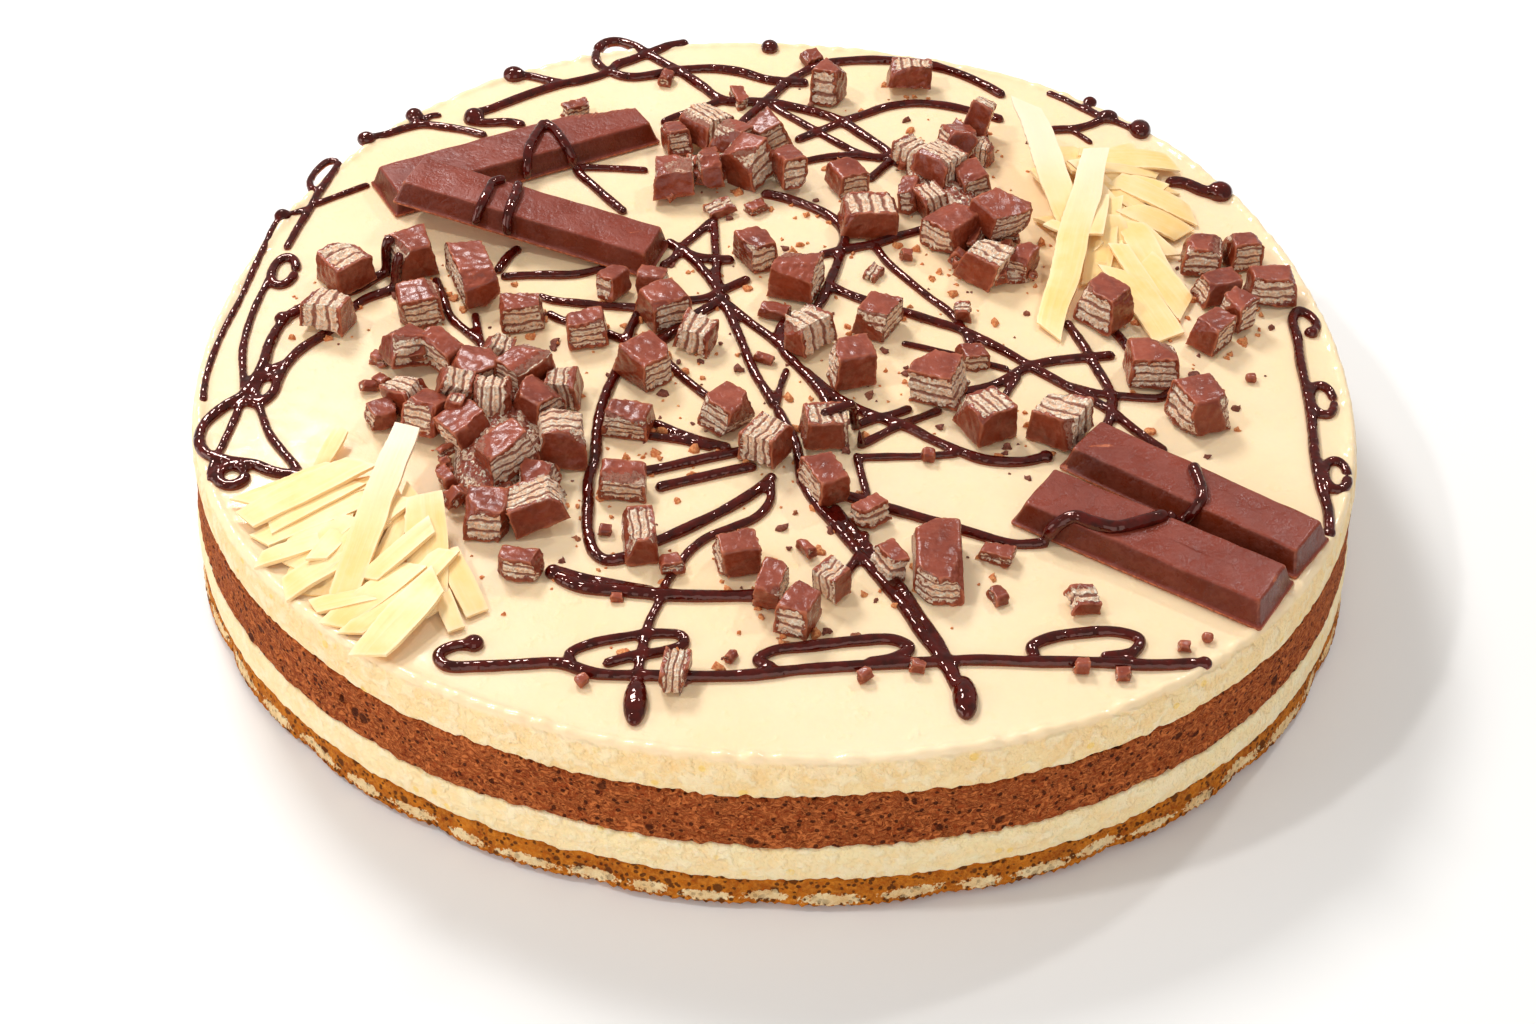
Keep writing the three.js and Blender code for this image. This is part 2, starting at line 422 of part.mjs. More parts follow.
// Turns a profile of [radius, height, joint] points into a layer with the trimmed outline. A point
// that names a joint follows its waves, and the base follows the lobes of its sponge fingers.
function layerGeometry(profile, steps, valley = () => 0) {
  const points = profile.map(([radius, height]) => new THREE.Vector2(radius, height));
  const turned = new THREE.LatheGeometry(points, steps).rotateX(Math.PI / 2);
  const same = (a, b) => Math.abs(a - b) < 1e-3;
  return reshaped(turned, (point) => {
    const radius = Math.hypot(point.x, point.y);
    if (same(radius, 0)) return;
    const angle = Math.atan2(point.y, point.x);
    const joint = profile.find(([r, z]) => same(r, radius) && same(z, point.z))[2];
    const flare = FOOT_FLARE * (1 - point.z / TOP);
    const change = (trim(angle) + flare + valley(angle)) / TOP_RADIUS;
    point.x *= 1 + change;
    point.y *= 1 + change;
    if (joint !== undefined) point.z += jointWave(angle, joint);
  });
}

function plainLayerProfile(foot, height, joint, bulge) {
  const top = foot + height - GAP;
  return [[0, foot], [TOP_RADIUS, foot, joint], [TOP_RADIUS + bulge, foot + height / 2],
    [TOP_RADIUS, top, joint + 1], [0, top]];
}

const biscuitProfile = [
  [0, 0], [TOP_RADIUS - 3.5, 0], [TOP_RADIUS, 2.8], [TOP_RADIUS - 0.5, 6.2],
  [TOP_RADIUS - 0.4, BISCUIT_HEIGHT - GAP, 1], [0, BISCUIT_HEIGHT - GAP],
];
const topCreamProfile = [
  [0, TOP_CREAM_FOOT], [TOP_RADIUS, TOP_CREAM_FOOT, 3],
  [TOP_RADIUS + 0.3, TOP_CREAM_FOOT + TOP_CREAM_HEIGHT / 2], [TOP_RADIUS - 0.2, TOP - 1],
  [TOP_RADIUS - 1.6, TOP + 0.7 * RIM_RISE], [TOP_RADIUS - 3.2, TOP + RIM_RISE],
  [TOP_RADIUS - RIM_WIDTH, TOP], [0, TOP],
];

// ---- the toppings ----------------------------------------------------------------------------

// A block with its corners a little out of true, standing on z = 0 before it is placed.
function blockGeometry([length, width, height], seed) {
  const random = randomFrom(seed);
  const box = new THREE.BoxGeometry(length, width, height).translate(0, 0, height / 2);
  return reshaped(box, (point) => {
    const narrow = point.z > 0 ? CHUNK_TAPER : 1;
    point.x = point.x * narrow + CRAG * (random() - 0.5);
    point.y = point.y * narrow + CRAG * (random() - 0.5);
    if (point.z > 0) point.z += CRAG * (random() - 0.5);
  });
}

// The room that a block takes, with the gap all round it.
function blockRoom([at, turn, [length, width, height]]) {
  const spare = 2 * GAP + CRAG;
  const box = new THREE.BoxGeometry(length + spare, width + spare, 2 * height);
  return solid(box.applyMatrix4(placement([...at, TOP], turn)));
}

function chunkSolid([at, turn, size, lift = 0], seed) {
  const place = placement([...at, TOP + GAP + lift], turn);
  return solid(blockGeometry(size, seed).applyMatrix4(place));
}

// The upper half of a flattened ball.
function moundSolid([x, y, halfLength, halfWidth, height, turn]) {
  const ball = new THREE.SphereGeometry(1, MOUND_SIDES, 6).rotateX(Math.PI / 2);
  ball.scale(halfLength, halfWidth, height).applyMatrix4(placement([x, y, TOP + GAP], turn));
  return solid(ball);
}

function moundRoom([x, y, halfLength, halfWidth, height, turn]) {
  const column = new THREE.CylinderGeometry(1, 1, 2 * height, MOUND_SIDES).rotateX(Math.PI / 2);
  column.scale(halfLength + GAP, halfWidth + GAP, 1).applyMatrix4(placement([x, y, TOP], turn));
  return solid(column);
}

// A slab that cuts flat whatever reaches below a height.
function everythingBelow(height) {
  const slab = new THREE.BoxGeometry(4 * TOP_RADIUS, 4 * TOP_RADIUS, 2 * TOP);
  return solid(slab.translate(0, 0, height - TOP));
}

function chunkHeap({ mounds, chunks }, seed) {
  const pieces = chunks.map((chunk, i) => chunkSolid(chunk, seed + i));
  return mainBody(joined([...mounds.map(moundSolid), ...pieces]).subtract(everythingBelow(TOP + GAP)));
}

function chunkHeapRoom({ mounds, chunks }) {
  return joined([...mounds.map(moundRoom), ...chunks.map(blockRoom)]);
}

// A curled shaving from its foot to its tip: thin, bowed along its length, narrow at both ends.
function shardGeometry([from, to, width, curl], grow = 0) {
  const start = new THREE.Vector3(...from);
  const along = new THREE.Vector3(...to).sub(start);
  const length = along.length();
  const strip = new THREE.BoxGeometry(length + 2 * grow, width + 2 * grow,
    SHARD_THICKNESS + 2 * grow, 3);
  const turned = reshaped(strip, (point) => {
    const s = point.x / length;
    point.y *= 1 - 1.6 * s * s;
    point.z += curl * (0.25 - s * s);
  });
  turned.rotateY(-Math.asin(along.z / length));
  turned.rotateZ(Math.atan2(along.y, along.x));
  turned.translate((from[0] + to[0]) / 2 + LAYOUT_ZERO[0], (from[1] + to[1]) / 2 + LAYOUT_ZERO[1],
    TOP + (from[2] + to[2]) / 2);
  return turned;
}

function shardHeap({ mounds, shards }) {
  const pieces = shards.map((shard) => solid(shardGeometry(shard)));
  return mainBody(joined([...mounds.map(moundSolid), ...pieces]).subtract(everythingBelow(TOP + GAP)));
}

function shardHeapRoom({ mounds, shards }) {
  const shardRooms = shards.map((shard) => solid(shardGeometry(shard, GAP)));
  return joined([...mounds.map(moundRoom), ...shardRooms]);
}

// The places along a path, from 0 to 1, where a chain of straight pieces has to bend to follow it.
function bends(path, slack, from = 0, to = 1) {
  const [start, end] = [path.getPointAt(from), path.getPointAt(to)];
  const chord = new THREE.Line3(start, end);
  const strays = [0.25, 0.5, 0.75].some((share) => {
    const point = path.getPointAt(from + share * (to - from));
    return point.distanceTo(chord.closestPointToPoint(point, true, new THREE.Vector3())) > slack;
  });
  if (!strays) return [to];
  const half = (from + to) / 2;
  return [...bends(path, slack, from, half), ...bends(path, slack, half, to)];
}

// A closed strand through [x, y, z] points: a tube whose rings are laid across the path. The shape
// turns the ring's own [across, up], a regular polygon round 0, into the strand's section.
function strandSolid(points, sides, slack, shape) {
  const path = new THREE.CatmullRomCurve3(points.map((point) => new THREE.Vector3(...point)),
    false, 'centripetal');
  const places = [0, ...bends(path, slack)];
  const pieces = places.length - 1;
  const tube = new THREE.CylinderGeometry(1, 1, pieces, sides, pieces);
  return solid(reshaped(tube, (point) => {
    const place = places[Math.round(point.y + pieces / 2)];
    const along = path.getTangentAt(place);
    const sideways = new THREE.Vector3(along.y, -along.x, 0).normalize();
    const upwards = new THREE.Vector3().crossVectors(sideways, along);
    const [across, up] = shape(point.x, point.z);
    point.copy(path.getPointAt(place));
    point.addScaledVector(sideways, across).addScaledVector(upwards, up);
  }));
}

// A strand on the cream is a ridge with its foot on the cream.
function syrupStrand([width, points]) {
  const laid = points.map(([x, y]) => [x + LAYOUT_ZERO[0], y + LAYOUT_ZERO[1], TOP]);
  return strandSolid(laid, 3, STRAND_SLACK, (across, up) =>
    [(across * width) / Math.sqrt(3), ((1 + 2 * up) / 3) * STRAND_RISE * width]);
}

// A strand that runs over a finger is round.
function roundStrand(points, width) {
  return strandSolid(points, OVER_SIDES, STRAND_SLACK, (across, up) =>
    [(across * width) / 2, (up * width) / 2]);
}

function syrupCurl([x, y, halfWidth, halfLength, width, turn]) {
  const ring = new THREE.TorusGeometry(1, width / 2, 4, CURL_STEPS);
  const oval = reshaped(ring, (point) => {
    const radius = Math.hypot(point.x, point.y);
    point.x *= (halfWidth + radius - 1) / radius;
    point.y *= (halfLength + radius - 1) / radius;
  });
  return solid(oval.applyMatrix4(placement([x, y, TOP], turn)));
}

function syrupDrop([x, y, across, along]) {
  const height = DROP_RISE * Math.min(across, along);
  const drop = new THREE.CylinderGeometry(0.3, 0.5, height, DROP_SIDES).rotateX(Math.PI / 2);
  drop.scale(across, along, 1).applyMatrix4(placement([x, y, TOP + height / 2], 0));
  return solid(drop);
}

function flakeSolid([x, y, length, width, height, turn], seed) {
  const block = blockGeometry([length, width, height], seed);
  return solid(block.applyMatrix4(placement([x, y, TOP], turn)));
}

// ---- the fingers -----------------------------------------------------------------------------

// A box whose rings of corners take the given sizes, from the foot up.
function ringedBar(rings) {
  const bar = new THREE.BoxGeometry(1, 1, 1, 1, 1, rings.length - 1);
  return reshaped(bar, (point) => {
    const [height, length, width] = rings[Math.round((point.z + 0.5) * (rings.length - 1))];
    point.set(point.x * length, point.y * width, height);
  });
}

function fingerGeometry({ length, width }, grow = 0) {
  const sloped = (size, share) => size - 2 * FINGER_SLOPE * share;
  const rings = [
    [-grow, length + 2 * LIP.out + 2 * grow, width + 2 * LIP.out + 2 * grow],
    [LIP.height + grow, length + 2 * LIP.out + 2 * grow, width + 2 * LIP.out + 2 * grow],
    [LIP.height + 1.01 * grow + 0.15, sloped(length, 0) + 2 * grow, sloped(width, 0) + 2 * grow],
    [FINGER_HEIGHT - 0.5 + grow, sloped(length, 0.85) + 2 * grow, sloped(width, 0.85) + 2 * grow],
    [FINGER_HEIGHT + grow, sloped(length, 1.25) + 2 * grow, sloped(width, 1.25) + 2 * grow],
  ];
  return ringedBar(rings);
}

// The crossing finger lies with one end on the back finger, so it slopes down to the cake.
function fingerPlacement({ at, turn, length, foot = 0 }) {
  const lean = (180 / Math.PI) * Math.asin(foot / length);
  return placement([...at, TOP + GAP + foot / 2], turn, lean);
}

// A finger with the syrup over it, grown by a spare all round where it stands for its own room.
function fingerSolid(name, spare = 0) {
  const strands = SYRUP_OVER_FINGERS[name].map(([width, points]) =>
    roundStrand(points, width + 2 * spare));
  const dressed = joined([solid(fingerGeometry(FINGERS[name], spare)), ...strands]);
  return solid(geometryOf(dressed).applyMatrix4(fingerPlacement(FINGERS[name])));
}

// ---- the whole cake --------------------------------------------------------------------------

const COLOURS = {
  biscuit: [0xb97f3c, 0.85],
  cream: [0xf6ead0, 0.45],
  mousse: [0x8f5f45, 0.8],
  glaze: [0xf8eccb, 0.25],
  milkChocolate: [0x7a4538, 0.4],
  whiteChocolate: [0xf4e6b4, 0.45],
};

const cake = new THREE.Group();

function addPart(name, geometry, finish) {
  const [color, roughness] = COLOURS[finish];
  const material = new THREE.MeshStandardMaterial({ color, roughness, metalness: 0 });
  const mesh = new THREE.Mesh(geometry, material);
  mesh.name = name;
  cake.add(mesh);
  return mesh;
}

// The base is the widest part, so the layers are centred by its box.
const biscuit = layerGeometry(biscuitProfile, BISCUIT_STEPS, lobeValley);
biscuit.computeBoundingBox();
const middle = biscuit.boundingBox.getCenter(new THREE.Vector3());
const centred = (geometry) => geometry.translate(-middle.x, -middle.y, 0);

addPart('biscuit_base', centred(biscuit), 'biscuit');
const lowerCream = plainLayerProfile(LOWER_CREAM_FOOT, LOWER_CREAM_HEIGHT, 1, 0.2);
addPart('cream_layer_lower', centred(layerGeometry(lowerCream, SIDE_STEPS)), 'cream');
const mousse = plainLayerProfile(MOUSSE_FOOT, MOUSSE_HEIGHT, 2, -0.4);
addPart('chocolate_mousse_layer', centred(layerGeometry(mousse, SIDE_STEPS)), 'mousse');

const fingerNames = Object.keys(FINGERS);
const rooms = joined([
  ...fingerNames.map((name) => fingerSolid(name, GAP)),
  ...CHUNKS.map(blockRoom),
  ...Object.values(CHUNK_HEAPS).map(chunkHeapRoom),
  ...Object.values(SHARD_HEAPS).map(shardHeapRoom),
]).subtract(everythingBelow(TOP));
const syrup = joined([
  ...SYRUP.map(syrupStrand), ...SYRUP_CURLS.map(syrupCurl), ...SYRUP_DROPS.map(syrupDrop),
  ...FLAKES.map((flake, i) => flakeSolid(flake, 900 + i)),
]);
const creamBody = solid(centred(layerGeometry(topCreamProfile, SIDE_STEPS)));
const topCream = creamBody.add(syrup).subtract(rooms);
addPart('cream_layer_top', geometryOf(mainBody(topCream)), 'glaze');

fingerNames.forEach((name) => {
  addPart(`wafer_finger_${name}`, geometryOf(fingerSolid(name)), 'milkChocolate');
});
CHUNKS.forEach((chunk, i) => {
  const name = `wafer_chunk_${String(i + 1).padStart(2, '0')}`;
  addPart(name, geometryOf(chunkSolid(chunk, 100 + i)), 'milkChocolate');
});
Object.entries(CHUNK_HEAPS).forEach(([name, heap], i) => {
  addPart(name, geometryOf(chunkHeap(heap, 300 + 50 * i)), 'milkChocolate');
});
Object.entries(SHARD_HEAPS).forEach(([name, heap]) => {
  addPart(name, geometryOf(shardHeap(heap)), 'whiteChocolate');
});

export default cake;
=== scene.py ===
# %% [markdown]
# # A semifreddo cake
# A round layered cake, 28 cm across: sponge fingers, cream, chocolate mousse and a glazed cream
# on top, dressed with syrup, coated wafer and white chocolate. The solids come in as a fixed
# frame, and this lesson builds what the eye sees round them, piece by piece, in the same metres
# and axes.

import math

import bpy
import numpy as np
from mathutils import Matrix, Vector


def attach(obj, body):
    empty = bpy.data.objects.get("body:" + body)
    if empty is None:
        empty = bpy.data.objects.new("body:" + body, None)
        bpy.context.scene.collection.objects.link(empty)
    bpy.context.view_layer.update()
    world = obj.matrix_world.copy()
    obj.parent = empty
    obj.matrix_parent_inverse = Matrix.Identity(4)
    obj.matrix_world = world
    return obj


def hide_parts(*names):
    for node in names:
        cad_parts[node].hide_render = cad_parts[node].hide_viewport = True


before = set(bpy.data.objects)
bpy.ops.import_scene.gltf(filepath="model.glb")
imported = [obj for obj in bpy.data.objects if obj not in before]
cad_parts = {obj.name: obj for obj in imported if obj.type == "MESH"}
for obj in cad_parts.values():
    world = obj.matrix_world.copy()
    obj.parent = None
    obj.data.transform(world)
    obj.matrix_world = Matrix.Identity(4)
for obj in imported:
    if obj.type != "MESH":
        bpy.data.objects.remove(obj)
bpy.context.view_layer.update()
MM = 0.001  # shapes are worked out in millimetres, Blender wants metres
print("nodes in the frame:", len(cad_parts))


def in_scene(name, data):
    """A new object at the origin that holds a mesh, a lamp or a camera."""
    made = bpy.data.objects.new(name, data)
    bpy.context.scene.collection.objects.link(made)
    return made


# %% [markdown]
# The camera comes first, because every later choice is judged through it. It looks down on the
# cake from the front at about 42 degrees with a 52 mm lens, turned by a single degree. Its place
# was worked out from the ellipse of the rim and from how much smaller the far side looks.

# %% Camera
TOP = 41.0  # the height of the cream's upper face
LAYOUT_ZERO = np.array([0.5, -0.9])  # the point that places on the cream are counted from
CAMERA_TILT, CAMERA_ROLL = math.radians(41.83), math.radians(1.09)
CAMERA_FROM_TOP = (-1.414, -432.08, 329.22)

right, ahead = Vector((1, 0, 0)), Vector((0, math.cos(CAMERA_TILT), -math.sin(CAMERA_TILT)))
upward = Vector((0, math.sin(CAMERA_TILT), math.cos(CAMERA_TILT)))
image_right = math.cos(CAMERA_ROLL) * right + math.sin(CAMERA_ROLL) * upward
image_up = -math.sin(CAMERA_ROLL) * right + math.cos(CAMERA_ROLL) * upward
eye = Vector(CAMERA_FROM_TOP) + Vector((*LAYOUT_ZERO, TOP))
camera = in_scene("camera", bpy.data.cameras.new("camera"))
turn = Matrix((image_right, image_up, -ahead)).transposed().to_4x4()
camera.matrix_world = Matrix.Translation(eye * MM) @ turn
camera.data.lens = 52.0
camera.data.sensor_width = 36.0
camera.data.clip_start = 0.01
bpy.context.scene.camera = camera
print("camera at", [round(x, 3) for x in camera.matrix_world.translation])

# %% [markdown]
# Helpers for meshes. A mesh is worked out in millimetres with numpy, which moves all its points
# at once, and becomes a Blender object in metres at the origin. A wobble is a sum of sine waves
# in random directions: a smooth, repeatable unevenness that costs nothing.


# %% Mesh helpers
def shade_smooth(mesh):
    """Lets light run smoothly over every face."""
    mesh.polygons.foreach_set("use_smooth", [True] * len(mesh.polygons))


def mesh_object(name, points, faces):
    """An object from points in millimetres and faces as lists of their numbers."""
    mesh = bpy.data.meshes.new(name)
    faces = [list(map(int, face)) for face in faces]
    mesh.from_pydata((np.asarray(points) * MM).tolist(), [], faces)
    shade_smooth(mesh)
    mesh.update()
    return in_scene(name, mesh)


def mark(piece, name, values):
    """A number for each vertex, which materials and node trees read by name."""
    attribute = piece.data.attributes.new(name, "FLOAT", "POINT")
    attribute.data.foreach_set("value", np.asarray(values, np.float32))


def merged(parts):
    """The points, squares and further columns of several shapes, as those of one."""
    points, squares, *others = (list(column) for column in zip(*parts))
    starts = np.append(0, np.cumsum([len(p) for p in points]))[:-1]
    squares = np.concatenate([s + start for s, start in zip(squares, starts)])
    return np.concatenate(points), squares, *(np.concatenate(column) for column in others)


def lay_map(piece, name, u, v, lap=None):
    """A UV map from two numbers for each vertex, in metres; a face across the seam of a wrapped map
    gets the length of the lap added on its short side."""
    layer = piece.data.uv_layers.new(name=name)
    corners = np.zeros(len(piece.data.loops), np.int32)
    piece.data.loops.foreach_get("vertex_index", corners)
    u, v = np.asarray(u)[corners], np.asarray(v)[corners]
    if lap:
        faces = np.zeros(len(piece.data.loops), np.int32)
        starts = np.zeros(len(piece.data.polygons), np.int32)
        piece.data.polygons.foreach_get("loop_start", starts)
        faces[starts] = 1
        faces = np.cumsum(faces) - 1
        highest = np.full(len(starts), -1e9)
        np.maximum.at(highest, faces, u)
        u = np.where(highest[faces] - u > lap / 2, u + lap, u)
    layer.data.foreach_set("uv", np.stack([u, v], 1).astype(np.float32).ravel())


def wobble(points, size, seed, waves=12):
    """A smooth random number for each point, about -1 to 1, that changes over `size`."""
    draw = np.random.default_rng(seed)
    points = np.atleast_2d(points)
    directions = draw.normal(size=(waves, points.shape[1]))
    directions /= np.linalg.norm(directions, axis=1)[:, None]
    directions *= draw.uniform(0.6, 1.5, (waves, 1)) * 2 * math.pi / size
    phases = draw.uniform(0, 2 * math.pi, waves)
    return np.sin(points @ directions.T + phases).sum(1) / math.sqrt(waves) / 1.2


def smooth_step(low, high, values):
    """From 0 at low to 1 at high, with soft ends; low may be the larger of the two."""
    share = np.clip((values - low) / (high - low), 0, 1)
    return share * share * (3 - 2 * share)


def joined(name, pieces):
    """Several objects as one, under a new name."""
    with bpy.context.temp_override(
        active_object=pieces[0], selected_objects=pieces, selected_editable_objects=pieces
    ):
        bpy.ops.object.join()
    pieces[0].name = pieces[0].data.name = name
    return pieces[0]


triangles = {}


def finished(piece, material, slot, *nodes):
    """Gives a piece its finish, lets it ride on the cake and stand for the nodes it replaces."""
    piece.data.materials.clear()
    piece.data.materials.append(material)
    piece.data.calc_loop_triangles()
    triangles[piece.name] = len(piece.data.loop_triangles)
    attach(piece, "root")
    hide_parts(*nodes)


# %% [markdown]
# Helpers for node trees. Both materials and Geometry Nodes are trees of nodes, so one function
# adds a node to either: its settings are named, and each input gets a number or another node's
# output.


# %% Node helpers
def add(tree, kind, inputs=(), **settings):
    """A node with its settings; inputs is a dict of name or place to a value or a socket."""
    node = tree.nodes.new(kind)
    for name, value in settings.items():
        setattr(node, name, value)
    for name, value in dict(inputs).items():
        if isinstance(value, bpy.types.NodeSocket):
            tree.links.new(value, node.inputs[name])
        else:
            node.inputs[name].default_value = value
    return node


def maths(tree, operation, a, b=0.0):
    """Two numbers or outputs worked into one."""
    return add(tree, "ShaderNodeMath", {0: a, 1: b}, operation=operation).outputs[0]


def times(tree, a, b):
    return maths(tree, "MULTIPLY", a, b)


def both_ways(tree, value):
    """A noise runs from 0 to 1; less its middle it goes both ways."""
    return maths(tree, "SUBTRACT", value, 0.5)


def between(tree, value, low, high, start=0.0, end=1.0):
    """The value's place between low and high, as a number from start to end."""
    inputs = {"Value": value, "From Min": low, "From Max": high, "To Min": start, "To Max": end}
    return add(tree, "ShaderNodeMapRange", inputs, interpolation_type="SMOOTHSTEP").outputs[0]


def mixed(tree, share, first, second):
    """Two colours mixed by a share."""
    return add(tree, "ShaderNodeMix", {0: share, 6: first, 7: second}, data_type="RGBA").outputs[2]


def height_of(tree):
    """How high a point lies, in metres: the third part of its place."""
    place = add(tree, "ShaderNodeTexCoord").outputs["Object"]
    return add(tree, "ShaderNodeSeparateXYZ", {0: place}).outputs["Z"]


def paint(red, green, blue):
    """A colour named in the usual 0 to 255 steps, as the linear light that Blender mixes in."""
    steps = [channel / 255 for channel in (red, green, blue)]
    linear = [s / 12.92 if s <= 0.04045 else ((s + 0.055) / 1.055) ** 2.4 for s in steps]
    return (*linear, 1.0)


def new_group(name, inputs, outputs):
    """An empty shader group with named inputs and outputs, and its two end nodes."""
    group = bpy.data.node_groups.new(name, "ShaderNodeTree")
    new_socket, number = group.interface.new_socket, "NodeSocketFloat"
    for label, value in inputs.items():
        new_socket(name=label, in_out="INPUT", socket_type=number).default_value = value
    for label in outputs:
        new_socket(name=label, in_out="OUTPUT", socket_type=number)
    return group, group.nodes.new("NodeGroupInput"), group.nodes.new("NodeGroupOutput")


def use(tree, group, **inputs):
    """A group placed in a material, with this material's own values."""
    return add(tree, "ShaderNodeGroup", inputs, node_tree=group)


def cloudy(tree, size, detail, contrast):
    """The mottle group's value, with clouds of this size in metres."""
    return use(tree, mottle, Size=size, Detail=detail, Contrast=contrast).outputs[0]


# %% [markdown]
# Four effects come back in several finishes, so each is a shader group with its own inputs.
# *Mottle* is the cloudy unevenness of cream, crumb and chocolate. *Pits* are small round pores,
# as air leaves them. *Worn edge* finds sharp edges, where chocolate breaks lighter, and also lays
# a painted highlight along them. The fourth group finds upper sides and paints them lighter, as
# if lit from above, which leaves painted shade on the moulded flanks.

# %% Shared effects
mottle, into, out = new_group("mottle", {"Size": 0.01, "Detail": 3.0, "Contrast": 1.0}, ["Value"])
place = add(mottle, "ShaderNodeTexCoord").outputs["Object"]
clouds = add(mottle, "ShaderNodeTexNoise", {
    "Vector": place, "Scale": maths(mottle, "DIVIDE", 1.0, into.outputs["Size"]),
    "Detail": into.outputs["Detail"], "Roughness": 0.6,
})
centred = both_ways(mottle, clouds.outputs["Fac"])
spread = times(mottle, centred, times(mottle, into.outputs["Contrast"], 2.2))
clamped = add(mottle, "ShaderNodeClamp", {0: maths(mottle, "ADD", spread, 0.5)})
mottle.links.new(clamped.outputs[0], out.inputs["Value"])

pits, into, out = new_group("pits", {"Size": 0.002, "Share": 0.4, "Ragged": 0.3}, ["Mask"])
place = add(pits, "ShaderNodeTexCoord").outputs["Object"]
scale = maths(pits, "DIVIDE", 1.0, into.outputs["Size"])
ruffle = add(pits, "ShaderNodeTexNoise", {"Vector": place, "Scale": scale, "Detail": 2.0})
cells = add(pits, "ShaderNodeTexVoronoi", {"Vector": place, "Scale": scale, "Randomness": 1.0})
shift = times(pits, both_ways(pits, ruffle.outputs["Fac"]), into.outputs["Ragged"])
reach = maths(pits, "ADD", cells.outputs["Distance"], shift)
inner = times(pits, into.outputs["Share"], 0.6)
hole = between(pits, reach, inner, into.outputs["Share"], 1.0, 0.0)
pits.links.new(hole, out.inputs["Mask"])


def sharpness(tree):
    return add(tree, "ShaderNodeNewGeometry").outputs["Pointiness"]


def upness(tree):
    way = add(tree, "ShaderNodeTexCoord").outputs["Normal"]
    return add(tree, "ShaderNodeSeparateXYZ", {0: way}).outputs["Z"]


def mask_group(name, measure, low, high):
    """A group whose mask goes from 0 to 1 as a measure of the surface goes from low to high."""
    group, into, out = new_group(name, {"From": low, "To": high}, ["Mask"])
    mask = between(group, measure(group), into.outputs["From"], into.outputs["To"])
    group.links.new(mask, out.inputs["Mask"])
    return group


# Sharp edges: partly real lighter wear, partly a painted highlight where edges catch light.
worn_edge_highlight = mask_group("worn edge and highlight", sharpness, 0.51, 0.56)
# Painted light: upper sides are coloured lighter as if lit from above, flanks darker as painted
# shade.
painted_top_light = mask_group("painted top light", upness, 0.35, 0.85)
print("shared effects:", [group.name for group in bpy.data.node_groups])


# %% A new finish
def new_finish(name, roughness=0.5, **sockets):
    """A material with an empty Principled shader; each named socket gets one plain value."""
    material = bpy.data.materials.new(name)
    material.use_nodes = True
    tree = material.node_tree
    shader = tree.nodes["Principled BSDF"]
    shader.inputs["Roughness"].default_value = roughness
    for label, value in sockets.items():
        shader.inputs[label.replace("_", " ")].default_value = value
    return material, tree, shader


def coloured(tree, shader, colour, relief, depth):
    """The finish's colour, and its relief too fine for the mesh, with the depth in metres."""
    tree.links.new(colour, shader.inputs["Base Color"])
    node = add(tree, "ShaderNodeBump", {"Height": relief, "Distance": depth, "Strength": 1.0})
    tree.links.new(node.outputs[0], shader.inputs["Normal"])


# %% [markdown]
# # The layers
# On the real cake the layers are poured into one ring, so they share one outline: nearly round,
# cut a little unevenly by hand, and wider at the foot. Each layer is a lathe shape whose radius
# follows that outline. A lathe modifier would give a perfect circle, so the rings are computed
# instead, with a point every 0.8 mm round the wall, which leaves room for real pores.

# %% The shared outline
TOP_RADIUS, FOOT_FLARE = 140.0, 4.0
BISCUIT_HEIGHT, LOWER_CREAM_HEIGHT, MOUSSE_HEIGHT, TOP_CREAM_HEIGHT = 8.5, 9.0, 14.0, 9.5
GAP = 0.3  # left between a piece and the one that it lies on
# Waves round the outline and the joints: how many, how large, and where the first one starts.
TRIM_WAVES = [(2, 1.45, -139), (3, 1.45, -100), (4, 1.55, 162), (5, 0.65, -115)]
JOINT_WAVES = [(5, 0.25), (13, 0.25), (21, 0.2)]
BISCUIT_LOBES, LOBE_DEPTH = 24, 1.1
STEPS_ROUND = 1120
WIDEST_AT, SIGHTINGS = 2.8, 72  # the height and the count of angles for the outline's middle
LOWER_CREAM_FOOT = BISCUIT_HEIGHT
MOUSSE_FOOT = LOWER_CREAM_FOOT + LOWER_CREAM_HEIGHT
TOP_CREAM_FOOT = MOUSSE_FOOT + MOUSSE_HEIGHT


def trim(angle):
    """How far the hand-cut outline leaves its circle."""
    return sum(
        size * np.cos(waves * angle - math.radians(start)) for waves, size, start in TRIM_WAVES)


def joint_wave(angle, joint):
    """How far a joint between two layers rises and falls on its way round."""
    return sum(size * np.sin(waves * angle + joint * waves) for waves, size in JOINT_WAVES)


def torn_joint(angle, joint):
    """The fine raggedness of a joint, on the wall only: tongues of cream a few millimetres long."""
    ring = np.stack([np.cos(angle), np.sin(angle)], 1) * TOP_RADIUS
    tongues = 0.3 * wobble(ring, 9, 300 + joint) + 0.34 * wobble(ring, 3.0, 310 + joint, 16)
    return np.clip(tongues, -0.85, 0.85)


def lobe_valley(angle):
    """The dips between one sponge finger and the next."""
    return -LOBE_DEPTH * (1 - np.abs(np.sin(BISCUIT_LOBES * angle / 2))) ** 2


def outline_scale(angle, height, valley=0.0):
    """The real outline's radius at a height, as a share of the circle's."""
    flare = FOOT_FLARE * (1 - height / TOP)
    return 1 + (trim(angle) + flare + valley) / TOP_RADIUS


corners = np.linspace(-math.pi, math.pi, SIGHTINGS + 1)[:-1]
reach = TOP_RADIUS * outline_scale(corners, WIDEST_AT, lobe_valley(corners))
sides = [reach * wave(corners) for wave in (np.cos, np.sin)]
middle = np.array([side.min() + side.max() for side in sides]) / 2
print("the outline's middle, mm:", middle.round(2))


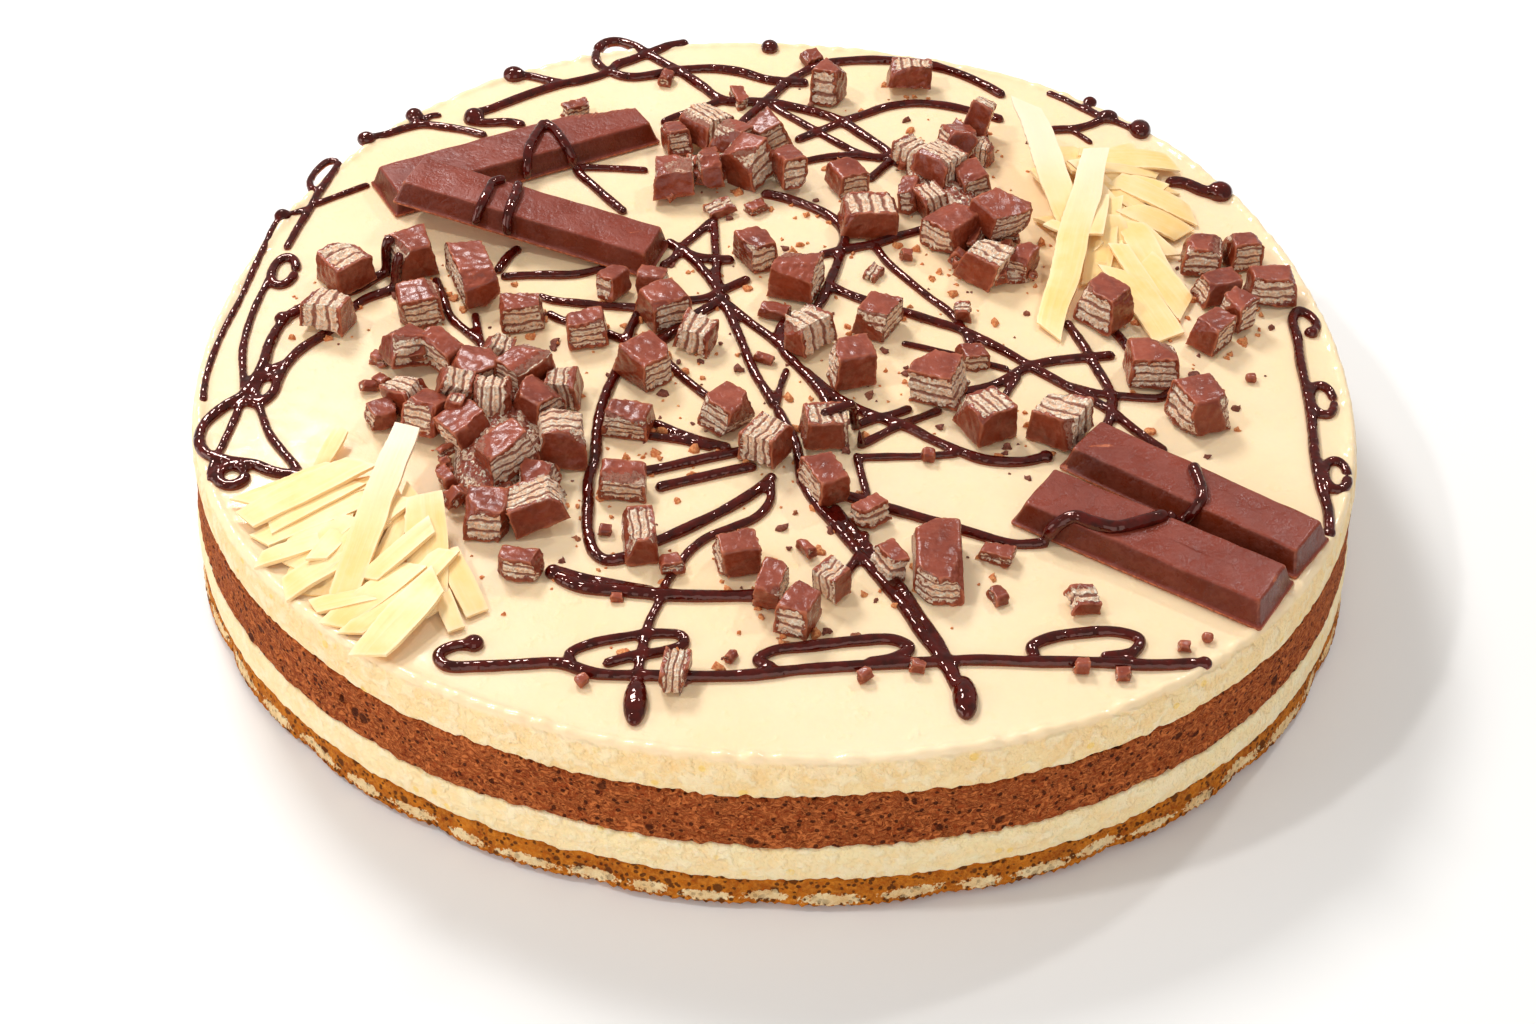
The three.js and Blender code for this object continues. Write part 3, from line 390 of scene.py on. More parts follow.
# %% A layer from its profile
def ring_faces(rings, count):
    """The squares between rings of count points each, which run to the left and lie upwards."""
    step, after = np.arange(count), np.roll(np.arange(count), -1)
    faces = []
    for low in range(0, (rings - 1) * count, count):
        high = low + count
        faces += np.stack([low + step, low + after, high + after, high + step], 1).tolist()
    return faces


def dense(profile, step):
    """A profile with a point about every step; `step` grows towards the middle of a disc."""
    rows = [profile[0]]
    for (r0, z0), (r1, z1) in zip(profile, profile[1:]):
        length = math.hypot(r1 - r0, z1 - z0)
        flat = abs(z1 - z0) < 0.05 and length > 8  # a face that lies level, so 5 rings will do
        pieces = 5 if flat else max(1, round(length / step))
        shares = np.linspace(0, 1, pieces + 1)[1:]
        if flat:
            shares = 1 - (1 - shares) ** 2.2 if r0 > r1 else shares**0.45
        rows += [(r0 + (r1 - r0) * s, z0 + (z1 - z0) * s) for s in shares]
    return rows


def turned_layer(name, profile, foot_joint, top_joint, step=0.5, valley=None, lift=None):
    """A closed layer. The profile starts and ends on the axis, from the underside to the top."""
    rows = [row for row in dense(profile, step) if row[0] > 0]
    steps = STEPS_ROUND
    angle = np.linspace(-math.pi, math.pi, steps + 1)[:-1] - math.pi / 2
    foot, top = profile[0][1], profile[-1][1]
    points, relief, ups, rounds = [], [], [], []
    for radius, height in rows:
        dip = 0 if valley is None else valley(angle)
        scale = outline_scale(angle, height, dip)
        share = np.clip((height - foot) / (top - foot), 0, 1)
        joints = [(near, joint) for near, joint in ((1 - share, foot_joint), (share, top_joint))
                  if joint is not None]
        waves = sum(near * joint_wave(angle, joint) for near, joint in joints)
        waves = sum((near**3 * torn_joint(angle, joint) for near, joint in joints), waves)
        at_wall = radius > TOP_RADIUS - 5
        level = height + waves * at_wall
        if lift is not None:
            level = level + lift(angle, radius, height)
        x, y = radius * scale * np.cos(angle), radius * scale * np.sin(angle)
        points.append(np.stack([x - middle[0], y - middle[1], level], 1))
        on_wall = smooth_step(TOP_RADIUS - 4, TOP_RADIUS - 1.2, radius)
        relief.append(np.full(steps, on_wall))
        ups.append(np.full(steps, height * MM))
        rounds.append(angle * TOP_RADIUS * MM)
    points = np.concatenate(points + [[[*-middle, foot], [*-middle, top]]])
    faces = ring_faces(len(rows), steps)
    bottom_pole, top_pole, last = len(points) - 2, len(points) - 1, (len(rows) - 1) * steps
    ring = list(zip(range(steps), [*range(1, steps), 0]))
    faces += [[bottom_pole, b, a] for a, b in ring]
    faces += [[top_pole, last + a, last + b] for a, b in ring]
    piece = mesh_object(name, points, faces)
    mark(piece, "relief", np.append(np.concatenate(relief), [0, 0]))
    ups, rounds = np.append(np.concatenate(ups), [0, 0]), np.append(np.concatenate(rounds), [0, 0])
    lay_map(piece, "wall map", rounds, ups, lap=2 * math.pi * TOP_RADIUS * MM)
    return piece, points


def plain_profile(foot, height, bulge):
    """A layer with a straight wall, a slight bulge and small corners."""
    top, corner = foot + height - GAP, 0.45
    return [(0, foot), (TOP_RADIUS - corner, foot), (TOP_RADIUS - 0.1, foot + corner),
            (TOP_RADIUS + bulge, foot + height / 2), (TOP_RADIUS - 0.1, top - corner),
            (TOP_RADIUS - corner, top), (0, top)]


# %% [markdown]
# Pores and lumps follow one rule all over a wall, so Geometry Nodes make them: the tree pushes
# each point along its normal, out by a soft noise and in where a Voronoi cell's middle makes a
# pore. The same tree serves sponge, mousse and cream, with its own sizes for each.


# %% A node tree that pits a wall
def new_tree(name, inputs):
    """A Geometry Nodes tree with a geometry in and out, and inputs as name: (kind, value)."""
    tree = bpy.data.node_groups.new(name, "GeometryNodeTree")
    tree.interface.new_socket(name="Geometry", in_out="INPUT", socket_type="NodeSocketGeometry")
    for label, (kind, value) in inputs.items():
        socket = tree.interface.new_socket(
            name=label, in_out="INPUT", socket_type="NodeSocket" + kind)
        if value is not None:
            socket.default_value = value
    tree.interface.new_socket(name="Geometry", in_out="OUTPUT", socket_type="NodeSocketGeometry")
    return tree, tree.nodes.new("NodeGroupInput").outputs, tree.nodes.new("NodeGroupOutput")


def end_tree(tree, geometry, finish, out):
    """The last steps of a tree: instances made real, and the finish laid on."""
    real = add(tree, "GeometryNodeRealizeInstances", {0: geometry})
    coated = add(tree, "GeometryNodeSetMaterial", {0: real.outputs[0], "Material": finish})
    tree.links.new(coated.outputs[0], out.inputs[0])
    print("tree:", tree.name, "with", len(tree.nodes), "nodes")


def as_it_shows(piece):
    """A plain mesh of a piece with its modifiers applied."""
    graph = bpy.context.evaluated_depsgraph_get()
    return bpy.data.meshes.new_from_object(
        piece.evaluated_get(graph), preserve_all_data_layers=True, depsgraph=graph)


def shaped(piece, tree, **inputs):
    """Runs a tree on a piece with its own inputs and keeps the result as a plain mesh."""
    modifier = piece.modifiers.new(tree.name, "NODES")
    modifier.node_group = tree
    for item in tree.interface.items_tree:
        label = item.name.replace(" ", "_")
        if item.in_out == "INPUT" and label in inputs:
            modifier[item.identifier] = inputs[label]
    mesh, name = as_it_shows(piece), piece.name
    bpy.data.objects.remove(piece)
    mesh.name = name
    return in_scene(name, mesh)


pitted, given, out = new_tree("pitted wall", {
    "Lump Size": ("Float", 0.006), "Lump Depth": ("Float", 0.0003), "Pore Size": ("Float", 0.003),
    "Pore Depth": ("Float", 0.0008), "Pore Share": ("Float", 0.3), "Seed": ("Float", 0.0),
    "Finish": ("Material", None),
})
spot = add(pitted, "GeometryNodeInputPosition").outputs[0]
move_on = add(pitted, "ShaderNodeCombineXYZ", {2: given["Seed"]}).outputs[0]
spot = add(pitted, "ShaderNodeVectorMath", {0: spot, 1: move_on}, operation="ADD").outputs[0]
lump = add(pitted, "ShaderNodeTexNoise", {
    "Vector": spot, "Scale": maths(pitted, "DIVIDE", 1.0, given["Lump Size"]), "Detail": 3.0,
}).outputs["Fac"]
rise = times(pitted, times(pitted, both_ways(pitted, lump), given["Lump Depth"]), 3.0)
cell = add(pitted, "ShaderNodeTexVoronoi", {
    "Vector": spot, "Scale": maths(pitted, "DIVIDE", 1.0, given["Pore Size"]),
}).outputs["Distance"]
pore = between(pitted, cell, 0.0, given["Pore Share"], 1.0, 0.0)
push = maths(pitted, "SUBTRACT", rise, times(pitted, pore, given["Pore Depth"]))
relief = add(pitted, "GeometryNodeInputNamedAttribute", {"Name": "relief"}, data_type="FLOAT")
push = times(pitted, push, relief.outputs["Attribute"])
outwards = add(pitted, "GeometryNodeInputNormal").outputs[0]
offset = add(
    pitted, "ShaderNodeVectorMath", {0: outwards, "Scale": push}, operation="SCALE").outputs[0]
moved = add(pitted, "GeometryNodeSetPosition", {"Geometry": given["Geometry"], "Offset": offset})
end_tree(pitted, moved.outputs[0], given["Finish"], out)

# %% [markdown]
# ## The sponge base
# The base is sponge fingers laid side by side and cut through by the ring. Each cut finger shows
# as a pale lens of crumb in a golden crust full of dark pores, and the crust ends below in a row
# of small beads. The lenses are marked on the mesh as a number, so that the finish can turn them
# pale with a ragged edge.

# %% Sponge: the shape
draw = np.random.default_rng(11)
biscuit_profile = [
    (0, 0), (138.6, 0), (139.5, 0.3), (TOP_RADIUS, 1.0), (TOP_RADIUS - 0.1, 2.8),
    (TOP_RADIUS - 0.4, 6.2), (TOP_RADIUS - 0.4, 7.7), (TOP_RADIUS - 0.9, 8.2), (0, 8.2)]
LENS_WIDTH = 14.5  # of a finger, along the wall
BEAD_COUNT = 410


def beads(angle, radius, height):
    """The crust's lower edge hangs in small beads."""
    low = smooth_step(2.2, 0.6, height) * smooth_step(TOP_RADIUS - 4, TOP_RADIUS - 1, radius)
    uneven = angle * BEAD_COUNT + 2.2 * np.sin(angle * 57) + 1.3 * np.sin(angle * 23)
    row = 0.5 + 0.5 * np.sin(uneven)
    return 0.9 * low * (1 - row) if height > 0 else 0 * angle


sponge, points = turned_layer(
    "sponge_base", biscuit_profile, None, 1, step=0.45, valley=lobe_valley, lift=beads)
angle = np.arctan2(points[:, 1] + middle[1], points[:, 0] + middle[0])
pale = np.full(len(points), -1.0)
start = -math.pi
while start < math.pi - 0.05:
    width = draw.uniform(0.75, 1.25) * LENS_WIDTH / TOP_RADIUS
    centre, half = start + width / 2, width * draw.uniform(0.4, 0.47)
    height, tall = draw.uniform(2.9, 3.4), draw.uniform(1.3, 1.9)
    lens = 1 - ((angle - centre) / half) ** 2 - ((points[:, 2] - height) / tall) ** 2
    pale = np.maximum(pale, np.where(np.abs(angle - centre) < width, lens, -1))
    start += width
mark(sponge, "pale", pale)

# %% Sponge: the finish
crumb, tree, shader = new_finish("sponge crumb", roughness=0.85, Specular_IOR_Level=0.15)
lens = add(tree, "ShaderNodeAttribute", attribute_name="pale").outputs["Fac"]
cloud = cloudy(tree, size=0.0035, detail=5.0, contrast=1.6)
grain = cloudy(tree, size=0.0009, detail=4.0, contrast=2.0)
fine_holes = use(tree, pits, Size=0.0014, Share=0.36, Ragged=0.6)
wide_holes = use(tree, pits, Size=0.0042, Share=0.24, Ragged=0.6)
crust = mixed(tree, cloud, paint(156, 70, 8), paint(206, 116, 22))
crust = mixed(tree, times(tree, grain, 0.35), crust, paint(236, 158, 58))
ragged = maths(tree, "ADD", lens, times(tree, both_ways(tree, grain), 0.9))
inside = between(tree, ragged, 0.05, 0.35)
pale_crumb = mixed(tree, cloud, paint(236, 192, 132), paint(252, 226, 176))
colour = mixed(tree, inside, crust, pale_crumb)
# Painted shade: pores are coloured dark brown, as the shade inside a hole.
shaded_holes = maths(tree, "MAXIMUM", fine_holes.outputs["Mask"], wide_holes.outputs["Mask"])
shaded_holes = times(tree, shaded_holes, between(tree, inside, 0.0, 1.0, 0.85, 0.35))
colour = mixed(tree, shaded_holes, colour, paint(84, 40, 10))
relief = maths(tree, "SUBTRACT", times(tree, grain, 0.5), shaded_holes)
coloured(tree, shader, colour, relief, 0.0005)

sponge = shaped(sponge, pitted, Lump_Size=0.0022, Lump_Depth=0.00028, Pore_Size=0.0034,
                Pore_Depth=0.0007, Pore_Share=0.3, Seed=1.0, Finish=crumb)
finished(sponge, crumb, "sponge_biscuit", "biscuit_base")
print("sponge triangles:", triangles["sponge_base"])

# %% [markdown]
# ## The two cream layers
# Whipped cream that has set in the cold: nearly smooth, a little torn by the knife, off-white
# with small yellow flecks. Light goes a little way into cream, so its shader scatters some light
# below the surface. The upper layer carries the glaze: its top is poured, level and glossy, with
# a low uneven rim where the glaze set against the ring.

# %% Cream: the finish
def cream_look(tree, dark, light, curd_share, curd_colour, tuft_colour):
    """The colour of set cream, and the relief of its curd and tufts."""
    cloud = cloudy(tree, size=0.007, detail=4.0, contrast=1.0)
    curd = cloudy(tree, size=0.0017, detail=3.0, contrast=1.6)
    flecks = use(tree, pits, Size=0.0062, Share=0.17, Ragged=0.25).outputs["Mask"]
    tufts = cloudy(tree, size=0.0042, detail=3.0, contrast=2.0)
    colour = mixed(tree, cloud, paint(*dark), paint(*light))
    colour = mixed(tree, times(tree, curd, curd_share), colour, paint(*curd_colour))
    colour = mixed(tree, times(tree, flecks, 0.6), colour, paint(250, 204, 92))
    colour = mixed(tree, between(tree, tufts, 0.45, 0.95, 0.0, 0.4), colour, paint(*tuft_colour))
    return colour, maths(tree, "ADD", times(tree, curd, 0.4), tufts)


LIGHT_INTO_CREAM = (1.0, 0.7, 0.4)
cream, tree, shader = new_finish(
    "set cream", roughness=0.5, Specular_IOR_Level=0.25, Subsurface_Weight=0.25,
    Subsurface_Scale=0.004, Subsurface_Radius=LIGHT_INTO_CREAM)
colour, relief = cream_look(
    tree, (253, 213, 152), (255, 229, 176), 0.3, (255, 240, 206), (255, 240, 208))
coloured(tree, shader, colour, relief, 0.0005)

lower_profile = plain_profile(LOWER_CREAM_FOOT, LOWER_CREAM_HEIGHT, 0.2)
lower, _ = turned_layer("lower_cream", lower_profile, 1, 2)
lower = shaped(lower, pitted, Lump_Size=0.0035, Lump_Depth=0.00022, Pore_Size=0.005,
               Pore_Depth=0.0003, Pore_Share=0.25, Seed=2.0, Finish=cream)
finished(lower, cream, "cream", "cream_layer_lower")

# %% [markdown]
# ## The chocolate mousse
# Mousse is chocolate full of air. A cut through it shows hundreds of small dark pores, a few
# larger bubbles, and fine strokes that the knife dragged through it. The bubbles are in the mesh.
# The strokes are noise on the wall's own map, stretched along a slant, so they follow the curve.

# %% Mousse: the finish
airy, tree, shader = new_finish("chocolate mousse", roughness=0.75, Specular_IOR_Level=0.08)
wall = add(tree, "ShaderNodeUVMap", uv_map="wall map").outputs[0]
dragged = []
for slant, size in ((35, 0.0015), (-55, 0.0018)):
    laid = add(tree, "ShaderNodeMapping", {
        "Vector": wall, "Rotation": (0, 0, math.radians(slant)), "Scale": (0.7, 1.0, 1.0),
    }).outputs[0]
    dragged.append(add(tree, "ShaderNodeTexNoise", {
        "Vector": laid, "Scale": 1 / size, "Detail": 3.0, "Roughness": 0.65, "Distortion": 2.4,
    }).outputs["Fac"])
patch = cloudy(tree, size=0.0028, detail=2.0, contrast=2.8)
both = {0: patch, 2: dragged[0], 3: dragged[1]}
cross = add(tree, "ShaderNodeMix", both, data_type="FLOAT").outputs[0]
strokes = between(tree, cross, 0.38, 0.62)
shaded_cracks = between(tree, cross, 0.37, 0.31)
small = use(tree, pits, Size=0.0018, Share=0.27, Ragged=0.75).outputs["Mask"]
wide = use(tree, pits, Size=0.0075, Share=0.15, Ragged=0.45).outputs["Mask"]
colour = mixed(tree, patch, paint(134, 54, 19), paint(156, 68, 27))
colour = mixed(tree, strokes, colour, paint(202, 112, 58))
# Painted shade: pores, bubbles and cracks are coloured near black, as the shade inside them.
dark = maths(tree, "MAXIMUM", maths(tree, "MAXIMUM", small, wide), times(tree, shaded_cracks, 0.8))
colour = mixed(tree, times(tree, dark, 0.85), colour, paint(66, 22, 7))
relief = maths(tree, "SUBTRACT", times(tree, strokes, 0.6), dark)
coloured(tree, shader, colour, relief, 0.0006)

mousse, _ = turned_layer("chocolate_mousse", plain_profile(MOUSSE_FOOT, MOUSSE_HEIGHT, -0.4), 2, 3)
mousse = shaped(mousse, pitted, Lump_Size=0.003, Lump_Depth=0.0003, Pore_Size=0.0055,
                Pore_Depth=0.0011, Pore_Share=0.22, Seed=3.0, Finish=airy)
finished(mousse, airy, "chocolate_mousse", "chocolate_mousse_layer")
print("mousse triangles:", triangles["chocolate_mousse"])

# %% Glazed cream: the shape and the finish
top_profile = [
    (0, TOP_CREAM_FOOT), (TOP_RADIUS - 0.45, TOP_CREAM_FOOT),
    (TOP_RADIUS - 0.1, TOP_CREAM_FOOT + 0.45),
    (TOP_RADIUS + 0.3, TOP_CREAM_FOOT + TOP_CREAM_HEIGHT / 2)]
RIM = [(0.2, -1), (0.35, -0.3), (0.6, 0.25), (1.0, 0.6), (1.6, 0.7), (2.2, 0.55), (3.0, 0.22),
       (4.2, 0.04), (6, 0), (7, 0), (9, 0), (12, 0)]  # inwards from the edge, upwards from the top
top_profile += [(TOP_RADIUS - inwards, TOP + rise) for inwards, rise in RIM] + [(0, TOP)]


def uneven_rim(angle, radius, height):
    """The rim rises and falls along the edge."""
    ring = np.stack([np.cos(angle), np.sin(angle)], 1) * TOP_RADIUS
    on_rim = smooth_step(TOP - 0.8, TOP + 0.5, height)
    on_rim = on_rim * smooth_step(TOP_RADIUS - 4, TOP_RADIUS - 2, radius)
    return on_rim * (0.25 * wobble(ring, 26, 21) + 0.28 * wobble(ring, 6, 22))


glaze, tree, shader = new_finish(
    "glazed cream", Specular_IOR_Level=0.1, Coat_Roughness=0.12, Coat_IOR=1.4,
    Subsurface_Weight=0.2, Subsurface_Scale=0.004, Subsurface_Radius=LIGHT_INTO_CREAM)
ripple = cloudy(tree, size=0.004, detail=2.0, contrast=1.0)
level = maths(tree, "ADD", height_of(tree), times(tree, ripple, 0.0008))
poured = between(tree, level, (TOP - 0.9) * MM, (TOP + 0.4) * MM)
side, relief = cream_look(
    tree, (248, 205, 140), (253, 223, 168), 0.25, (255, 238, 202), (255, 239, 206))
broad = cloudy(tree, size=0.05, detail=3.0, contrast=1.2)
face = mixed(tree, broad, paint(253, 220, 174), paint(255, 227, 188))
tree.links.new(between(tree, poured, 0, 1, 0.5, 0.42), shader.inputs["Roughness"])
rim = between(tree, level, (TOP + 0.2) * MM, (TOP + 0.8) * MM, 0.12, 0.7)
tree.links.new(times(tree, poured, rim), shader.inputs["Coat Weight"])
matt = maths(tree, "SUBTRACT", 1.0, times(tree, poured, 0.93))
coloured(tree, shader, mixed(tree, poured, side, face), times(tree, relief, matt), 0.0005)

upper, _ = turned_layer("glazed_cream_top", top_profile, 3, None, lift=uneven_rim)
upper = shaped(upper, pitted, Lump_Size=0.0045, Lump_Depth=0.0002, Pore_Size=0.005,
               Pore_Depth=0.0003, Pore_Share=0.25, Seed=4.0, Finish=glaze)
finished(upper, glaze, "glazed_cream", "cream_layer_top")
print("glazed cream triangles:", triangles["glazed_cream_top"])

# %% [markdown]
# # What lies on the cream: the layout
# Four sticks of chocolate, forty-six chunks of coated wafer and three heaps of them. A chunk is
# kept as its place, its turn and its size along, across and up, in millimetres. A stick is a low
# bar with sloping sides; the crossing one rests its end on the back one, so it has a foot.

# %% Where the sticks and chunks lie
FINGERS = {
    "back": {"at": [-70.5, 74], "turn": 29.5, "length": 76, "width": 17, "foot": 0},
    "crossing": {"at": [-63.5, 40.5], "turn": -17.5, "length": 69, "width": 15.5, "foot": 7.4},
    "front": {"at": [82.3, -75.8], "turn": -32.8, "length": 59, "width": 17, "foot": 0},
    "right": {"at": [93.5, -59.2], "turn": -36.5, "length": 59, "width": 15.2, "foot": 0},
}

CHUNKS = [
    [[13, 109], -115, [8, 8, 11]], [[36, 117], -92, [10, 12.5, 6.8]], [[18, 65], -60, [9, 9, 6.8]],
    [[23, 46.5], -85, [10.5, 15, 8]], [[107.3, 32], -98, [9, 10, 7.8]],
    [[118, 35], -78, [9, 9, 7.8]],
    [[109.5, 19], -70, [8, 10, 6.5]], [[113, 8.5], -45, [8, 8, 8]],
    [[105.5, 0.5], -42, [8, 10, 7.4]],
    [[123, 19], -85, [8, 12, 7.4]], [[80.3, 8.9], -132, [10, 12, 9.2]],
    [[89, -14], -88, [10, 12, 8.2]], [[99, -30], -158, [12, 11.5, 9.2]],
    [[65.5, -35.5], -32, [12, 11.5, 9]], [[48.5, -34.5], -60, [11.5, 11, 9]],
    [[38, -21], -112, [11, 12, 9]], [[-6, 30.5], -65, [10, 8.5, 8]], [[4.5, 19], -20, [12, 11, 9]],
    [[7.5, -3.5], -40, [8.5, 12.5, 8]], [[17.5, -15.5], -162, [10.5, 10.5, 9]],
    [[25, 3.5], -28, [10, 11, 8]], [[-31, 17.6], -15, [8, 6, 6]],
    [[-28, 6], -58, [10.5, 10.5, 8.6]],
    [[-19.5, -4.5], -110, [8, 9, 6.4]], [[-46, -3], -82, [8, 10, 7]],
    [[-31, -17], -48, [11, 11, 8.6]],
    [[-34, -37], -102, [7.5, 11, 6.4]], [[-11.2, -34.4], -130, [10, 10, 8]],
    [[-2, -44.6], -122, [11, 9.5, 8]], [[12, -39], -80, [9, 12.5, 7.4]],
    [[11, -57], -150, [8, 11.5, 8]], [[-34, -58.5], -90, [7.5, 11, 6.6]],
    [[-29, -77], -82, [11.5, 7.5, 7]], [[-7.5, -82], -75, [8, 9.5, 8]],
    [[-0.6, -92], -106, [11, 6, 7.4]], [[5.8, -99], -116, [10, 7.5, 8]],
    [[12.6, -89.5], -130, [8, 7, 6.6]], [[35.5, -83.8], -90, [20, 11, 7]],
    [[-19.8, -117], -96, [9, 6, 5.6]], [[-54.5, -85.8], -97, [5.5, 10, 5.4]],
    [[-108, 19], -142, [11, 12.5, 8]], [[-109, 1], -106, [9.5, 11.5, 8.2]],
    [[-92, 25], -152, [12, 11, 9]], [[-87.5, 4.5], -76, [9.5, 11, 8.2]],
    [[-76, 18], -68, [22, 9.5, 9]], [[-62, 2.5], -86, [8, 10.5, 8]],
]

CHUNK_HEAPS = {
    "wafer_heap_left": {
        "mounds": [[-62, -44, 27, 13, 8, 82]],
        "chunks": [
            [[-88, -14], -152, [11, 9, 7.5], 0], [[-79, -14.5], -40, [11, 8, 8], 0],
            [[-71, -22], -64, [12, 11, 9], 0], [[-66.5, -12], -20, [7, 7, 5], 0],
            [[-59, -24], -48, [9, 12, 8], 3.5], [[-49.5, -26], -100, [9, 7, 8], 0],
            [[-86, -31], -30, [10, 8, 7], 0], [[-80, -38.5], -118, [9, 9, 8], 0],
            [[-91, -36], -60, [7, 7, 5], 0], [[-70, -45], -140, [10.5, 11, 8], 1],
            [[-65, -37], -95, [10, 9, 8], 5], [[-55, -36], -28, [10, 10, 8], 2.5],
            [[-48.5, -46.5], -80, [12, 11, 9.5], 0], [[-61, -56], -66, [9, 14, 8], 3.5],
            [[-63, -71.5], -84, [9.5, 10, 8], 0], [[-52.5, -69.5], -76, [9, 13, 7.5], 0],
            [[-53, -60], -20, [8, 9, 7], 0], [[-74, -31], -75, [8, 8, 7], 3],
        ],
    },
    "wafer_heap_right": {
        "mounds": [[46, 56, 27, 8, 6, -62], [47, 82, 14, 6, 4, 55], [55, 29, 11, 6, 4, -20]],
        "chunks": [
            [[35.5, 76], -58, [9, 8, 8], 0], [[47.5, 80], -78, [10, 9, 8], 0],
            [[54, 91], -102, [9, 7, 10], 0], [[42.5, 66], -40, [12, 10, 8], 3],
            [[34, 57], -100, [8, 5, 6.5], 0], [[39.5, 53.5], -60, [8, 7, 7], 0],
            [[44, 40], -136, [12, 12, 8.5], 0], [[52, 26.5], -132, [11, 11, 8.5], 0],
            [[56, 42], -48, [12, 12, 8], 4.5], [[61.5, 28], -110, [8, 6, 7], 0],
            [[50.5, 61], -70, [9, 8, 7], 2], [[54, 78.5], -20, [6, 5, 6], 0],
        ],
    },
    "wafer_heap_back": {
        "mounds": [[-13, 73, 13, 7, 5, 20]],
        "chunks": [
            [[-20, 86], -50, [12, 11, 8.5], 0], [[-28, 81.5], -70, [8, 7, 7], 0],
            [[-28, 61.5], -82, [11, 11, 8], 0], [[-18.5, 65.5], -75, [11, 6, 8.5], 0],
            [[-9, 68], -122, [10, 11, 12], 0], [[-3.5, 84], -60, [10, 9, 9], 0],
            [[2.2, 67], -76, [10.5, 7.5, 8.5], 0], [[-13, 77], -30, [9, 8, 8], 3],
        ],
    },
}

FLAKES = [
    [8.5, 129.5, 6, 5, 3, 30], [-32.5, 117, 5, 4, 3, 80], [-11.5, 107.5, 9, 4, 3, -70],
    [-15.5, 52.6, 8, 5, 2.6, 25], [-6, 54, 6, 4, 2.4, 40], [-0.5, 8.3, 8, 5, 3, -20],
    [49, -78.2, 8.5, 5, 3, -25], [66, -92.8, 6.5, 6, 3.2, 10], [48, -91, 5, 3.4, 2.6, -60],
    [45.5, 8.7, 4.5, 4.5, 3.6, 0], [-95, -13.5, 5, 3.4, 2.6, -30], [-96, -24, 4, 3, 2.4, 20],
    [-22, -83.4, 5.6, 4.6, 3, 10], [7.2, -77.5, 5.5, 2.6, 2.4, -60], [64, -111.7, 3.4, 3, 3, 0],
    [47, -9.5, 7, 7, 5, -70], [21, -66.5, 6, 8, 5, -50], [25, -83, 8, 5, 6, -62],
    [-41, 16, 6, 8.5, 6, -30], [-3, -10.3, 5, 2.6, 2, -20], [24, 26, 6, 4, 2, 60],
    [-56.5, 99, 8, 4, 4, 30], [35, -45.3, 3.2, 3.2, 3, 0], [-8.5, -110.2, 3, 2.4, 2, 60],
    [19, -115.3, 3.2, 2.6, 2.6, 30], [30, -112.3, 3.2, 3, 2.6, 0], [72.4, -113.3, 3.4, 3.2, 2.4, 0],
    [86, -105, 2.8, 2.6, 2.2, 0], [91.2, -102.2, 2.6, 2.4, 2, 0], [-38.7, -118, 3, 2.6, 2, 40],
    [113.5, -14, 2.8, 2.4, 2.2, 0], [32.8, 33.6, 3.2, 3, 2.6, 0], [-33, -93.4, 2.8, 2.4, 1.8, 0],
    [-37, -72.3, 3, 3, 2, 0],
]

# %% [markdown]
# # The syrup
# Chocolate syrup is let run from a bag in loops and crossings. It stands up as a round bead about
# 2.5 mm wide, ends in a heavier drop, and where two runs cross they melt into one. Each run is
# kept as its width and then the x and y of each point it passes through, in millimetres from the
# middle of the layout.

